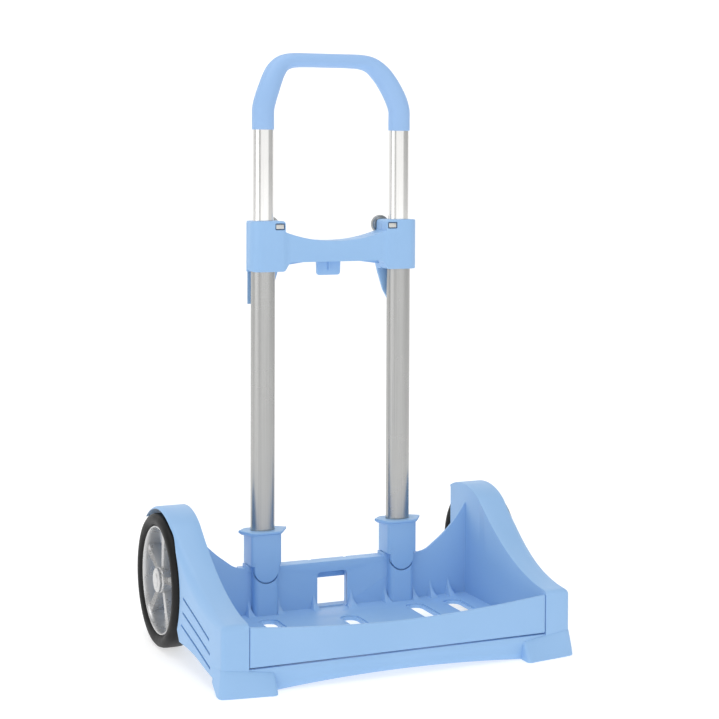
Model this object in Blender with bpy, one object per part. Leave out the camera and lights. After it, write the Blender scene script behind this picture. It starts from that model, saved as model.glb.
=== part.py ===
"""School bag trolley: wheeled tray, twin telescopic tubes, crossbar and grip.

Metres, +Z up. X runs across the trolley, -Y is the front, the wheels are at +Y.
The origin is on the ground, midway between the front feet and the back of the wheels.
"""
import math

import bmesh
import bpy
from mathutils import Matrix, Vector

# ---- driving dimensions ------------------------------------------------------------
WALL = 0.0025                 # moulded wall thickness
GAP = 0.0003                  # gap between pieces that touch
FRONT_Y = -0.1205             # front face of the pillars and the flap
FOOT_Y = -0.1265              # foremost line of the feet
WALL_Y = 0.054                # front face of the rear wall
TUBE_Y = 0.0585               # plane of the tubes
TUBE_X = 0.0745               # half the spacing of the tubes
INNER_X = 0.1515              # inside of the side walls
OUTER_X = 0.179               # outside of the side walls
FLOOR_Z = 0.023               # top of the tray floor
PILLAR_Z = 0.0645             # top of the front pillars
LEDGE_Z = 0.0695              # top of the rear wall between the tubes
FLAP_Z = 0.0615               # top of the flap at its ends
FLAP_DIP = 0.009              # how far the flap's top edge dips in the middle
FOOT_X = 0.1262               # inner side of the feet
SLOTS = ((0.0, 0.0135), (0.080, 0.031), (0.1225, 0.031))   # x and rear end of the floor slots
SLOT_HALF = 0.0065
SLOT_FRONT = -0.084

AXLE_Y = 0.061
WHEEL_R = 0.0655
AXLE_Z = WHEEL_R
ARCH_R = 0.069                # wheel arch, under the fender
FENDER_R = 0.0715             # fender top, concentric with the wheel
AXLE_R = 0.004
BOSS_R = 0.006                # boss that holds the stub axle

OUTER_TUBE = (0.0125, 0.0085)     # half width and half depth of the oval section
INNER_TUBE = (0.0108, 0.0068)
OUTER_TUBE_WALL = 0.0012
INNER_TUBE_WALL = 0.001
OUTER_TUBE_Z = (0.0745, 0.400)
INNER_TUBE_Z = (0.182, 0.533)     # with the grip 90 mm above its lowest place

SOCKET_Z = (0.0728, 0.1045)       # block of the tube socket, above the rear wall
BAR_Y = (0.0435, 0.0583, 0.0587, 0.0715)   # front shell, then rear shell
BAR_TOP_Z = 0.4187
BAR_LOW_Z = 0.368
GRIP_Z = 0.510                    # lower ends of the grip
GRIP_BACK = 0.015                 # how far the grip's bar lies behind the tubes
HINGE = (-0.1172, 0.0272)         # y and z of the flap's hinge axis
BOLT_X = 0.061
BOLT_Z = 0.413
PAD_Z = 0.383                     # height of the friction pads in the crossbar

RIB_X = (0.020, 0.058, 0.0905, 0.1105, 0.132)    # ribs of the rear wall, on both sides

BLUE = (0.34, 0.52, 0.82)
STEEL = (0.60, 0.61, 0.62)
SIDES = (("left", -1), ("right", 1))


# ---- helpers -----------------------------------------------------------------------
def clear_scene():
    for item in list(bpy.data.objects):
        bpy.data.objects.remove(item, do_unlink=True)


def material(name, color, roughness, metallic=0.0):
    made = bpy.data.materials.get(name)
    if made is None:
        made = bpy.data.materials.new(name)
        made.use_nodes = True
        shader = made.node_tree.nodes["Principled BSDF"]
        shader.inputs["Base Color"].default_value = (*color, 1.0)
        shader.inputs["Roughness"].default_value = roughness
        shader.inputs["Metallic"].default_value = metallic
    return made


def to_object(name, bm, finish=None):
    """Turn a bmesh into an object whose faces point outwards."""
    bmesh.ops.recalc_face_normals(bm, faces=bm.faces)
    mesh = bpy.data.meshes.new(name)
    bm.to_mesh(mesh)
    bm.free()
    item = bpy.data.objects.new(name, mesh)
    bpy.context.scene.collection.objects.link(item)
    if finish:
        mesh.materials.append(finish)
    return item


def extrude_face(bm, edges, offset):
    """Fill a closed loop of edges and pull the face along offset."""
    face = bmesh.ops.contextual_create(bm, geom=edges)["faces"]
    pulled = bmesh.ops.extrude_face_region(bm, geom=face)["geom"]
    moved = [item for item in pulled if isinstance(item, bmesh.types.BMVert)]
    bmesh.ops.translate(bm, verts=moved, vec=offset)


def prism(name, outline, axis, low, high, finish=None):
    """Extrude an outline of (u, v) points along axis "x", "y" or "z"."""
    places = {
        "x": lambda u, v: Vector((low, u, v)),
        "y": lambda u, v: Vector((u, low, v)),
        "z": lambda u, v: Vector((u, v, low)),
    }
    bm = bmesh.new()
    verts = [bm.verts.new(places[axis](u, v)) for u, v in outline]
    edges = [bm.edges.new((verts[i - 1], verts[i])) for i in range(len(verts))]
    offset = Vector([high - low if axis == letter else 0.0 for letter in "xyz"])
    extrude_face(bm, edges, offset)
    return to_object(name, bm, finish)


def box(name, low, high, finish=None, bevel=0.0, along="z", segments=2):
    """A block between two corners, with the edges that run along one axis rounded."""
    bm = bmesh.new()
    bmesh.ops.create_cube(bm, size=1.0)
    size = Vector(high) - Vector(low)
    bmesh.ops.scale(bm, vec=size, verts=bm.verts)
    bmesh.ops.translate(bm, vec=(Vector(high) + Vector(low)) / 2, verts=bm.verts)
    if bevel:
        index = "xyz".index(along)
        edges = [e for e in bm.edges if abs((e.verts[0].co - e.verts[1].co)[index]) > 1e-6]
        bmesh.ops.bevel(bm, geom=edges, offset=bevel, segments=segments, profile=0.5,
                        affect="EDGES")
    return to_object(name, bm, finish)


def turned(name, profile, axis, centre, steps=24, finish=None):
    """Spin (along, radius) points round an axis "x", "y" or "z" through centre."""
    direction = Vector([1.0 if axis == letter else 0.0 for letter in "xyz"])
    outward = Vector((0, 0, 1)) if axis != "z" else Vector((1, 0, 0))
    bm = bmesh.new()
    centre = Vector(centre)
    verts = [bm.verts.new(centre + direction * along + outward * r) for along, r in profile]
    edges = [bm.edges.new((verts[i - 1], verts[i])) for i in range(len(verts))
             if profile[i - 1][1] > 0 or profile[i][1] > 0]
    bmesh.ops.spin(bm, geom=verts + edges, cent=centre, axis=direction,
                   angle=math.tau, steps=steps, use_merge=True)
    bmesh.ops.remove_doubles(bm, verts=bm.verts, dist=1e-6)
    return to_object(name, bm, finish)


def rod(name, axis, centre, radius, low, high, steps=16, finish=None):
    """A plain round bar from low to high, measured from centre along axis."""
    profile = [(low, 0.0), (low, radius), (high, radius), (high, 0.0)]
    return turned(name, profile, axis, centre, steps, finish)


def oval_bar(name, x, half, z_range, steps=24, finish=None, y=TUBE_Y):
    """A solid upright bar of oval section."""
    outline = [(x + half[0] * math.cos(t), y + half[1] * math.sin(t))
               for t in (math.tau * i / steps for i in range(steps))]
    return prism(name, outline, "z", z_range[0], z_range[1], finish)


def combine(target, tool, operation):
    """Apply one exact Boolean of tool on target, and drop the tool."""
    step = target.modifiers.new(operation.lower(), "BOOLEAN")
    step.operation = operation
    step.object = tool
    step.solver = "EXACT"
    graph = bpy.context.evaluated_depsgraph_get()
    result = bpy.data.meshes.new_from_object(target.evaluated_get(graph))
    target.modifiers.clear()
    bm = bmesh.new()
    bm.from_mesh(result)
    bmesh.ops.remove_doubles(bm, verts=bm.verts, dist=2e-6)
    bmesh.ops.dissolve_degenerate(bm, dist=2e-6, edges=bm.edges)
    bm.to_mesh(result)
    bm.free()
    target.data = result
    bpy.data.objects.remove(tool, do_unlink=True)


def cut(target, *tools):
    for tool in tools:
        combine(target, tool, "DIFFERENCE")


def fuse(target, *tools):
    for tool in tools:
        combine(target, tool, "UNION")


def mirrored(item, name):
    """A copy of item on the other side of the X = 0 plane."""
    bm = bmesh.new()
    bm.from_mesh(item.data)
    bmesh.ops.scale(bm, vec=(-1, 1, 1), verts=bm.verts)
    bmesh.ops.reverse_faces(bm, faces=bm.faces)
    return to_object(name, bm, item.data.materials[0])


def set_origin(item, point):
    """Move an object's origin to a point, leaving its shape where it is."""
    item.data.transform(Matrix.Translation(-Vector(point)))
    item.location = point


def smooth(item, angle=30):
    item.data.shade_smooth()
    item.data.set_sharp_from_angle(angle=math.radians(angle))


def arc(centre, radius, start, end, steps):
    """Points on an arc, with its angles in degrees."""
    points = []
    for i in range(steps + 1):
        t = math.radians(start + (end - start) * i / steps)
        points.append((centre[0] + radius * math.cos(t), centre[1] + radius * math.sin(t)))
    return points


def bezier(p0, p1, p2, p3, steps):
    """Points on a cubic curve, without its first point."""
    points = []
    for i in range(1, steps + 1):
        t = i / steps
        w = ((1 - t) ** 3, 3 * t * (1 - t) ** 2, 3 * t * t * (1 - t), t ** 3)
        points.append(tuple(w[0] * a + w[1] * b + w[2] * c + w[3] * d
                            for a, b, c, d in zip(p0, p1, p2, p3)))
    return points


# ---- tray --------------------------------------------------------------------------
def side_outline(inset):
    """Side view of a side wall: pillar, sweep up to the fender, then the lower edge."""
    axle = (AXLE_Y, AXLE_Z)
    crest = arc(axle, FENDER_R - 1.6 * inset, 125, 52, 8)
    low = (FRONT_Y + inset, PILLAR_Z - inset)
    sweep = bezier(low, (-0.062, 0.067 - inset), (-0.018, 0.0974 - inset), crest[0], 9)
    if inset:
        return [(low[0], -0.02), low] + sweep + crest[1:] + [(crest[-1][0], -0.02)]
    inside_arch = [(0.0979, 0.1128), (0.0118, 0.0345)]
    skirt = [(-0.008, 0.0255), (-0.1065, 0.0103), (FRONT_Y, 0.004)]
    return [low] + sweep + crest[1:] + inside_arch + skirt


def finished(item):
    """Give a piece of the tray its plastic and its shading."""
    item.data.materials.clear()
    item.data.materials.append(material("blue_base", BLUE, 0.42))
    smooth(item)
    return item


def side_wall():
    """The right-hand side wall, hollow and open below and behind, with its foot."""
    wall = prism("side_wall_right", side_outline(0), "x", INNER_X + WALL - 0.0008, OUTER_X)
    bm = bmesh.new()
    bm.from_mesh(wall.data)
    rim = [e for e in bm.edges
           if min(v.co.x for v in e.verts) > OUTER_X - 1e-5
           and min((v.co - Vector((v.co.x, AXLE_Y, AXLE_Z))).length for v in e.verts)
           > ARCH_R + 0.001 and min(v.co.z for v in e.verts) > PILLAR_Z - 0.001]
    bmesh.ops.bevel(bm, geom=rim, offset=0.0022, segments=3, profile=0.5, affect="EDGES")
    bm.to_mesh(wall.data)
    bm.free()
    hollow = prism("hollow", side_outline(WALL), "x", INNER_X, OUTER_X - WALL)
    well = rod("well", "x", (0, AXLE_Y, AXLE_Z), ARCH_R, INNER_X, OUTER_X + 0.02, 48)
    cut(wall, hollow, well)
    top = [(y, z - 0.0004) for y, z in side_outline(0)[:16]]
    inner = [(FRONT_Y + 0.0005, 0.012)] + top + [(0.0899, 0.118), (0.0899, 0.030), (0.070, 0.0203)]
    plate = prism("plate", inner, "x", INNER_X, INNER_X + WALL)
    fuse(wall, plate)
    foot = [(FRONT_Y, FLOOR_Z), (FOOT_Y, 0.002), (FOOT_Y + 0.001, 0), (-0.108, 0),
            (-0.108, 0.012), (FRONT_Y + WALL, 0.016), (FRONT_Y + WALL, FLOOR_Z)]
    foot_block = prism("foot", foot, "x", FOOT_X, 0.1805)
    toe = [(FOOT_X + 0.002, FOOT_Y), (0.1815, FOOT_Y + 0.0035), (0.1815, -0.14),
           (FOOT_X - 0.001, -0.14), (FOOT_X - 0.001, FOOT_Y - 0.0005)]
    cut(foot_block, prism("toe", toe, "z", -0.01, 0.03))
    fuse(wall, foot_block)
    lip_end = [(INNER_X - 0.001, 0.0903), (0.182, 0.1055), (0.182, 0.12), (INNER_X - 0.001, 0.12)]
    cut(wall, prism("lip_end", lip_end, "z", 0.08, 0.15))
    for low_z, start_y in ((0.0445, -0.0175), (0.0315, -0.0155), (0.0185, -0.0125)):
        rise = 0.22
        length = 0.069
        front_y = start_y - length
        slot = [(front_y, low_z), (start_y, low_z + length * rise),
                (start_y, low_z + length * rise + 0.0014), (front_y, low_z + 0.0014)]
        cut(wall, prism("louvre", slot, "x", OUTER_X - 0.006, OUTER_X + 0.006))
    fuse(wall, rod("boss", "x", (0, AXLE_Y, AXLE_Z), BOSS_R, 0.126, 0.1565, 20))
    cut(wall, rod("axle_hole", "x", (0, AXLE_Y, AXLE_Z), AXLE_R + GAP, 0.1295, 0.170, 20))
    cut(wall, rod("pin_hole", "x", (0, *HINGE), 0.0014, 0.149, 0.1563, 12))
    return finished(wall)


def rear_wall():
    """Rear wall: a skin with swept-up ends, and a box beam behind its level part."""
    level = 0.090
    end_x = INNER_X - GAP
    low_z = FLOOR_Z + GAP
    sweep = bezier((level, LEDGE_Z), (0.112, LEDGE_Z), (0.132, 0.090), (end_x, 0.1210), 8)
    right = [(level, LEDGE_Z)] + sweep + [(end_x, low_z)]
    outline = right + [(-x, z) for x, z in reversed(right)]
    wall = prism("tray_back", outline, "y", WALL_Y, WALL_Y + WALL)
    fuse(wall, box("ledge", (-0.1, WALL_Y + 0.001, LEDGE_Z - WALL), (0.1, 0.070, LEDGE_Z - 0.0001)))
    for x in (-0.1, -0.04, 0.04, 0.1):
        fuse(wall, box("web", (x - 0.001, WALL_Y + 0.001, low_z), (x + 0.001, 0.069, LEDGE_Z - 0.001)))
    window = box("window", (-0.0165, WALL_Y - 0.01, 0.0245), (0.0165, WALL_Y + 0.01, 0.059),
                 bevel=0.004, along="y")
    cut(wall, window)
    for x in (-0.0195, 0.0195):
        cut(wall, box("notch", (x - 0.002, 0.066, LEDGE_Z - 0.01), (x + 0.002, 0.072, LEDGE_Z + 0.01)))
    for x in RIB_X:
        fuse(wall, gusset(x), gusset(-x))
    for _, side in SIDES:
        x = side * TUBE_X
        fuse(wall, box("housing", (x - 0.013, 0.0448, low_z), (x + 0.013, 0.0697, 0.0724),
                       bevel=0.004))
        cut(wall, box("plug_hole", (x - 0.0109, 0.0481, 0.027), (x + 0.0109, 0.0663, 0.08)))
        cut(wall, rod("mouth", "y", (x, 0.04, 0.069), 0.0135, 0, 0.0095, 24))
        cut(wall, box("mouth_top", (x - 0.0136, 0.040, 0.069), (x + 0.0136, 0.0495, 0.08)))
        cut(wall, rod("screw_hole", "y", (x, 0.06, 0.050), 0.0019, 0, 0.02, 12))
        cut(wall, rod("boss_room", "x", (0, AXLE_Y, AXLE_Z), BOSS_R + GAP,
                      side * 0.1255, side * 0.1565, 20))
    return finished(wall)


def gusset(x):
    """A concave rib from the rear wall down to the floor."""
    reach = 0.013
    curve = arc((WALL_Y - reach, FLOOR_Z + 0.0185), 0.0185, -90, 0, 5)
    curve = [(WALL_Y - reach + (y - (WALL_Y - reach)) * reach / 0.0185, z) for y, z in curve]
    curve[0] = (curve[0][0], FLOOR_Z + 0.0009)
    outline = curve + [(WALL_Y + 0.001, FLOOR_Z + 0.0185), (WALL_Y + 0.001, FLOOR_Z + GAP),
                       (WALL_Y - reach, FLOOR_Z + GAP)]
    return prism("gusset", outline, "x", x - 0.0011, x + 0.0011)


def tray():
    """Floor with its slots, and the bowed skirt below its front edge."""
    half = INNER_X - GAP
    floor = box("base_tray", (-half, FRONT_Y + 0.004, FLOOR_Z - WALL), (half, 0.0695, FLOOR_Z))
    arch_low, arch_high, reach = 0.0012, 0.0068, FOOT_X - 2 * GAP
    lower = [(x * reach / 6, arch_high - (arch_high - arch_low) * (x / 6) ** 2)
             for x in range(-6, 7)]
    lip = lower + [(reach, FLOOR_Z - 0.0005), (-reach, FLOOR_Z - 0.0005)]
    skirt = prism("skirt", lip, "y", FRONT_Y + 0.0012, FRONT_Y + 0.0012 + WALL)
    shelf = box("shelf", (-half, FRONT_Y + WALL + GAP, FLOOR_Z - WALL - 0.0001),
                (half, FRONT_Y + 0.006, FLOOR_Z - 0.0006))
    fuse(floor, shelf, skirt)
    for x, rear in SLOTS:
        for slot_x in sorted({x, -x}):
            cut(floor, box("slot", (slot_x - SLOT_HALF, SLOT_FRONT, 0.015),
                           (slot_x + SLOT_HALF, rear, 0.030), bevel=SLOT_HALF - GAP, segments=3))
    return finished(floor)


def flap():
    """Drop-down front flap, with a hinge barrel along its lower edge."""
    half = INNER_X - 0.0009
    axis_y, axis_z = HINGE
    barrel = arc((axis_y, axis_z), 0.003, 180, 405, 8)
    outline = [(FRONT_Y, FLAP_Z - 0.001), (FRONT_Y, axis_z)] + barrel + [
        (FRONT_Y + 0.003, 0.0325), (FRONT_Y + 0.003, FLAP_Z - 0.001),
        (FRONT_Y + 0.0022, FLAP_Z), (FRONT_Y + 0.0008, FLAP_Z)]
    item = prism("front_flap", outline, "x", -half, half, material("blue_flap", BLUE, 0.4))
    dip = [(x * half / 8, FLAP_Z - FLAP_DIP * (1 - (x / 8) ** 2)) for x in range(-8, 9)]
    above = [(half + 0.001, FLAP_Z), (half + 0.001, 0.07), (-half - 0.001, 0.07),
             (-half - 0.001, FLAP_Z)]
    cut(item, prism("dip", dip + above, "y", FRONT_Y - 0.01, FRONT_Y + 0.01))
    for _, side in SIDES:
        cut(item, rod("pin_hole", "x", (0, axis_y, axis_z), 0.00128,
                      side * 0.143, side * 0.153, 12))
    set_origin(item, (0, axis_y, axis_z))
    return item


# ---- tubes and their sockets -------------------------------------------------------
def hollow_tube(name, x, half, thickness, z_range, finish):
    """An oval tube, open at both ends."""
    tube = oval_bar(name, x, half, z_range, 28, finish)
    bore = (half[0] - thickness, half[1] - thickness)
    cut(tube, oval_bar("bore", x, bore, (z_range[0] - 0.01, z_range[1] + 0.01), 28))
    return tube


def socket(name, x):
    """Socket that holds a tube: block with a flange, tongue and plug below."""
    finish = material("blue_socket", BLUE, 0.42)
    low, high = SOCKET_Z
    item = box(name, (x - 0.0161, 0.0448, low), (x + 0.0161, 0.0712, high + 0.001), finish,
               bevel=0.0015)
    rim = [(-0.0225, 0.0), (-0.0165, -0.0150), (0.0165, -0.0150), (0.0225, 0.0),
           (0.0165, 0.0142), (-0.0165, 0.0142)]
    rim = [(x + u, TUBE_Y + v) for u, v in rim]
    fuse(item, prism("flange", rim, "z", high, high + 0.0025))
    fuse(item, box("plug", (x - 0.0105, 0.0485, 0.0285), (x + 0.0105, 0.0659, low + 0.001)))
    tongue = [(-0.0128, low + 0.001)] + arc((0, 0.069), 0.0128, 180, 360, 10) + [
        (0.0128, low + 0.001)]
    tongue = [(x + u, v) for u, v in tongue]
    fuse(item, prism("tongue", tongue, "y", 0.0449, 0.0489))
    bore = (OUTER_TUBE[0] + GAP, OUTER_TUBE[1] + GAP)
    cut(item, oval_bar("bore", x, bore, (OUTER_TUBE_Z[0] - GAP, high + 0.01), 28))
    cut(item, rod("pilot", "y", (x, 0.056, 0.050), 0.0015, 0, 0.012, 12))
    smooth(item)
    return item


def frame_tubes(label, side):
    x = side * TUBE_X
    satin = material("satin_aluminium", (0.66, 0.68, 0.71), 0.34, 1.0)
    bright = material("bright_aluminium", (0.84, 0.84, 0.83), 0.18, 1.0)
    black = material("black_plastic", (0.05, 0.05, 0.055), 0.5)
    outer = hollow_tube("outer_tube_" + label, x, OUTER_TUBE, OUTER_TUBE_WALL,
                        OUTER_TUBE_Z, satin)
    inward = -side
    cut(outer, rod("pad_hole", "x", (x, TUBE_Y, PAD_Z), 0.0031, inward * 0.006,
                   inward * 0.016, 16))
    inner = hollow_tube("inner_tube_" + label, x, INNER_TUBE, INNER_TUBE_WALL,
                        INNER_TUBE_Z, bright)
    cut(inner, rod("screw_hole", "y", (x, TUBE_Y, 0.520), 0.0014, 0.003, 0.012, 12))
    low = INNER_TUBE_Z[0]
    bore = tuple(h - INNER_TUBE_WALL - GAP for h in INNER_TUBE)
    collar = tuple(h - OUTER_TUBE_WALL - 0.00015 for h in OUTER_TUBE)
    glide = oval_bar("tube_glide_" + label, x, collar, (low - 0.014, low - GAP), 28, black)
    fuse(glide, oval_bar("plug", x, bore, (low - 0.001, low + 0.014), 28))
    top = OUTER_TUBE_Z[1] + GAP
    bush = oval_bar("guide_bush_" + label, x, OUTER_TUBE, (top, top + 0.006), 28, black)
    guide = tuple(h + 0.00012 for h in INNER_TUBE)
    cut(bush, oval_bar("guide", x, guide, (top - 0.01, top + 0.02), 28))
    for item in (outer, inner, glide, bush):
        smooth(item)


# ---- crossbar ----------------------------------------------------------------------
def crossbar_outline(rear):
    """Front view of the crossbar, right half from the middle of its top edge."""
    dip = [(0.055 * i / 5, 0.398 + 0.0095 * (i / 5) ** 2) for i in range(0, 6)]
    sleeve = [(0.0555, BAR_TOP_Z - 0.003)] + arc((0.0585, BAR_TOP_Z - 0.003), 0.003, 180, 90, 2)[1:]
    sleeve += arc((0.0882, BAR_TOP_Z - 0.003), 0.003, 90, 0, 2)
    if rear:
        sleeve += [(0.0912, 0.3385), (0.0885, 0.335), (0.0675, 0.335), (0.0535, 0.3745)]
    else:
        sleeve += arc((0.0887, BAR_LOW_Z + 0.0025), 0.0025, 0, -90, 2)
        sleeve += [(0.0600, BAR_LOW_Z), (0.0555, 0.3695), (0.0515, 0.3745)]
    bottom = [(0.0475, 0.377), (0.0, 0.377)]
    right = dip + sleeve + bottom
    return right + [(-x, z) for x, z in reversed(right[1:-1])]


def bar_shell(name, rear, low, high, finish):
    """One half of the crossbar: its front view, limited by a plan with rounded ends."""
    item = prism(name, crossbar_outline(rear), "y", low, high, finish)
    radius, end = 0.010, 0.091
    front, back = BAR_Y[0], BAR_Y[3]
    plan = []
    for x, y, start in ((end - radius, back - radius, 0), (radius - end, back - radius, 90),
                        (radius - end, front + radius, 180), (end - radius, front + radius, 270)):
        plan += arc((x, y), radius, start, start + 90, 5)
    combine(item, prism("plan", plan, "z", 0.32, 0.43), "INTERSECT")
    return item


def bore_sleeves(item):
    """Cut the crossbar for the outer tube, its bush and the inner tube."""
    for _, side in SIDES:
        x = side * TUBE_X
        wide = (OUTER_TUBE[0] + GAP, OUTER_TUBE[1] + GAP)
        narrow = (INNER_TUBE[0] + 0.0003, INNER_TUBE[1] + 0.0003)
        bush_top = OUTER_TUBE_Z[1] + 2 * GAP + 0.006
        cut(item, oval_bar("wide", x, wide, (0.3, bush_top), 28))
        cut(item, oval_bar("narrow", x, narrow, (0.39, 0.45), 28))


def crossbar():
    finish = material("blue_crossbar", BLUE, 0.42)
    front = bar_shell("crossbar_front", False, BAR_Y[0] - 0.001, BAR_Y[1], finish)
    rear = bar_shell("crossbar_rear", True, BAR_Y[2], BAR_Y[3] + 0.001, finish)
    skirt_room = box("room", (-0.2, BAR_Y[2] - 0.001, 0.32), (0.2, BAR_Y[3] - 0.0033, BAR_LOW_Z))
    cut(rear, skirt_room)
    cavity = [(-0.0525, 0.3795), (0.0525, 0.3795), (0.0525, 0.4035), (0.0, 0.3955), (-0.0525, 0.4035)]
    cut(front, prism("cavity", cavity, "y", BAR_Y[0] + WALL, BAR_Y[1] + 0.01))
    cut(rear, prism("cavity", cavity, "y", BAR_Y[2] - 0.01, BAR_Y[3] - WALL))
    tab = box("tab", (-0.0137, 0.0665, 0.3617), (0.0137, 0.0700, 0.3785), bevel=0.003, along="y")
    rib = box("rib", (-0.0008, 0.0640, 0.366), (0.0008, 0.0670, 0.3779))
    fuse(rear, tab, rib)
    bore_sleeves(front)
    bore_sleeves(rear)
    for _, side in SIDES:
        x = side * BOLT_X
        head = box("head_room", (x - 0.0053, BAR_Y[0] - 0.001, BOLT_Z - 0.00345),
                   (x + 0.0053, BAR_Y[0] + 0.0045, BOLT_Z + 0.00345))
        cut(front, head, rod("shank", "y", (x, 0, BOLT_Z), 0.0020, 0.04, 0.08, 16))
        cut(rear, rod("shank", "y", (x, 0, BOLT_Z), 0.0020, 0.04, 0.08, 16))
        for shell in (front, rear):
            cut(shell, rod("pad_room", "x", (0, TUBE_Y, PAD_Z), 0.0031, side * 0.040,
                           side * 0.070, 16))
    for x, z in screw_places():
        post = rod("post", "y", (x, 0, z), 0.0032, BAR_Y[0] + 0.001, BAR_Y[1] - 0.0002, 16)
        fuse(front, post)
        cut(front, rod("pilot", "y", (x, 0, z), 0.0014, BAR_Y[0] + 0.005, BAR_Y[1] + 0.005, 12))
        post = rod("post", "y", (x, 0, z), 0.0045, BAR_Y[2] + 0.0002, BAR_Y[3] - 0.001, 16)
        fuse(rear, post)
        cut(rear, rod("clear", "y", (x, 0, z), 0.0018, BAR_Y[2] - 0.005, BAR_Y[3] + 0.005, 12))
        cut(rear, rod("head", "y", (x, 0, z), 0.0034, BAR_Y[3] - 0.0026, BAR_Y[3] + 0.005, 16))
    smooth(front)
    smooth(rear)


def screw_places():
    return [(-0.043, 0.395), (-0.016, 0.387), (0.016, 0.387), (0.043, 0.395)]


def bolt_and_nut(label, side):
    """Key-headed bolt through the crossbar, with its washer and thumb nut behind."""
    x = side * BOLT_X
    steel = material("zinc_steel", STEEL, 0.3, 1.0)
    dark = material("nut_steel", (0.36, 0.37, 0.38), 0.38, 1.0)
    bolt = box("key_bolt_" + label, (x - 0.0043, 0.0440, BOLT_Z - 0.00245),
               (x + 0.0043, 0.0477, BOLT_Z + 0.00245), steel, bevel=0.0006, along="y", segments=1)
    fuse(bolt, rod("shank", "y", (x, 0, BOLT_Z), 0.00175, 0.047, 0.0795, 16))
    washer = [(0.0718, 0.0021), (0.0718, 0.0052), (0.0724, 0.0052), (0.0724, 0.0021)]
    turned("nut_washer_" + label, washer, "y", (x, 0, BOLT_Z), 16, steel)
    nut = rod("thumb_nut_" + label, "y", (x, 0, BOLT_Z), 0.0095, 0.0727, 0.0785, 36, dark)
    bm = bmesh.new()
    bm.from_mesh(nut.data)
    for vert in bm.verts:
        arm = vert.co - Vector((x, vert.co.y, BOLT_Z))
        step = round(math.degrees(math.atan2(arm.x, arm.z)) / 10)
        if arm.length > 0.005 and step % 2:
            vert.co -= arm * 0.05
    bm.to_mesh(nut.data)
    bm.free()
    cut(nut, rod("thread", "y", (x, 0, BOLT_Z), 0.00183, 0.06, 0.09, 16))
    smooth(nut, 20)
    set_origin(nut, (x, 0.0727, BOLT_Z))
    smooth(bolt)


def friction_pad(label, side):
    """Pad that a spring presses on the inner tube through a hole in the outer tube."""
    black = material("pad_plastic", (0.08, 0.08, 0.09), 0.6)
    steel = material("spring_steel", STEEL, 0.35, 1.0)
    nose = TUBE_X - INNER_TUBE[0] - 0.00015
    rod("friction_pad_" + label, "x", (0, TUBE_Y, PAD_Z), 0.0027, side * 0.0555, side * nose,
        16, black)
    turns, points, radius = 4, 8, 0.0019
    curve = bpy.data.curves.new("pad_spring_" + label, "CURVE")
    curve.dimensions = "3D"
    line = curve.splines.new("POLY")
    count = turns * points
    line.points.add(count)
    for i in range(count + 1):
        t = math.tau * i / points
        x = side * (0.0465 + 0.0080 * i / count)
        line.points[i].co = (x, TUBE_Y + radius * math.cos(t), PAD_Z + radius * math.sin(t), 1)
    curve.bevel_depth = 0.0003
    curve.bevel_resolution = 1
    curve.use_fill_caps = True
    item = bpy.data.objects.new("pad_spring_" + label, curve)
    curve.materials.append(steel)
    bpy.context.scene.collection.objects.link(item)


# ---- grip --------------------------------------------------------------------------
def grip():
    """Hoop-shaped grip: oval sections carried along a path of straights and bends."""
    steps = 16
    leg, bar = (0.0123, 0.0093), (0.0072, 0.0105)   # half widths: in the hoop, across it
    half = [((0.0747, GRIP_Z), 0.0, leg), ((0.0747, 0.5325), 0.0, leg),
            ((0.0722, 0.5425), 0.0010, leg), ((0.0682, 0.5525), 0.0030, (0.0118, 0.0096)),
            ((0.0628, 0.5625), 0.0065, (0.0112, 0.0099)),
            ((0.0555, 0.5720), 0.0110, (0.0098, 0.0102)),
            ((0.0460, 0.5788), 0.0140, (0.0083, 0.0104)),
            ((0.0340, 0.5810), GRIP_BACK, bar), ((0.0, 0.5812), GRIP_BACK, bar)]
    path = [((-x, z), back, size) for (x, z), back, size in half]
    path += [((x, z), back, size) for (x, z), back, size in reversed(half[:-1])]
    points = [Vector((x, TUBE_Y + back, z)) for (x, z), back, _ in path]
    bm = bmesh.new()
    rings = []
    for i, (_, _, size) in enumerate(path):
        before = points[i] - points[max(i - 1, 0)]
        after = points[min(i + 1, len(points) - 1)] - points[i]
        run = (before.normalized() + after.normalized()).normalized()
        run.y = 0
        across = Vector((0, 1, 0))
        out = across.cross(run.normalized())
        ring = []
        for j in range(steps):
            t = math.tau * j / steps
            ring.append(bm.verts.new(points[i] + out * size[0] * math.cos(t)
                                     + across * size[1] * math.sin(t)))
        rings.append([bm.edges.new((ring[j - 1], ring[j])) for j in range(steps)])
    for one, two in zip(rings, rings[1:]):
        bmesh.ops.bridge_loops(bm, edges=one + two)
    for end in (rings[0], rings[-1]):
        bmesh.ops.contextual_create(bm, geom=end)
    item = to_object("handle_grip", bm, material("blue_grip", BLUE, 0.48))
    for _, side in SIDES:
        x = side * TUBE_X
        bore = tuple(h + GAP for h in INNER_TUBE)
        cut(item, oval_bar("bore", x, bore, (GRIP_Z - 0.01, INNER_TUBE_Z[1] + GAP), 28))
        cut(item, rod("screw_hole", "y", (x, TUBE_Y, 0.520), 0.0017, 0.003, 0.012, 12))
        cut(item, rod("spot_face", "y", (x, TUBE_Y, 0.520), 0.0032, 0.0087, 0.012, 16))
    smooth(item, 40)
    return item


def screw(name, centre, head, shank, length, finish):
    """A pan-head screw driven towards -Y, its head's top at centre."""
    profile = [(-length, 0), (-length, shank * 0.5), (-length + shank, shank), (-0.0020, shank),
               (-0.0020, head), (-0.0008, head), (0, head * 0.7), (0, 0)]
    item = turned(name, profile, "y", centre, 12, finish)
    smooth(item)
    return item


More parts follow.
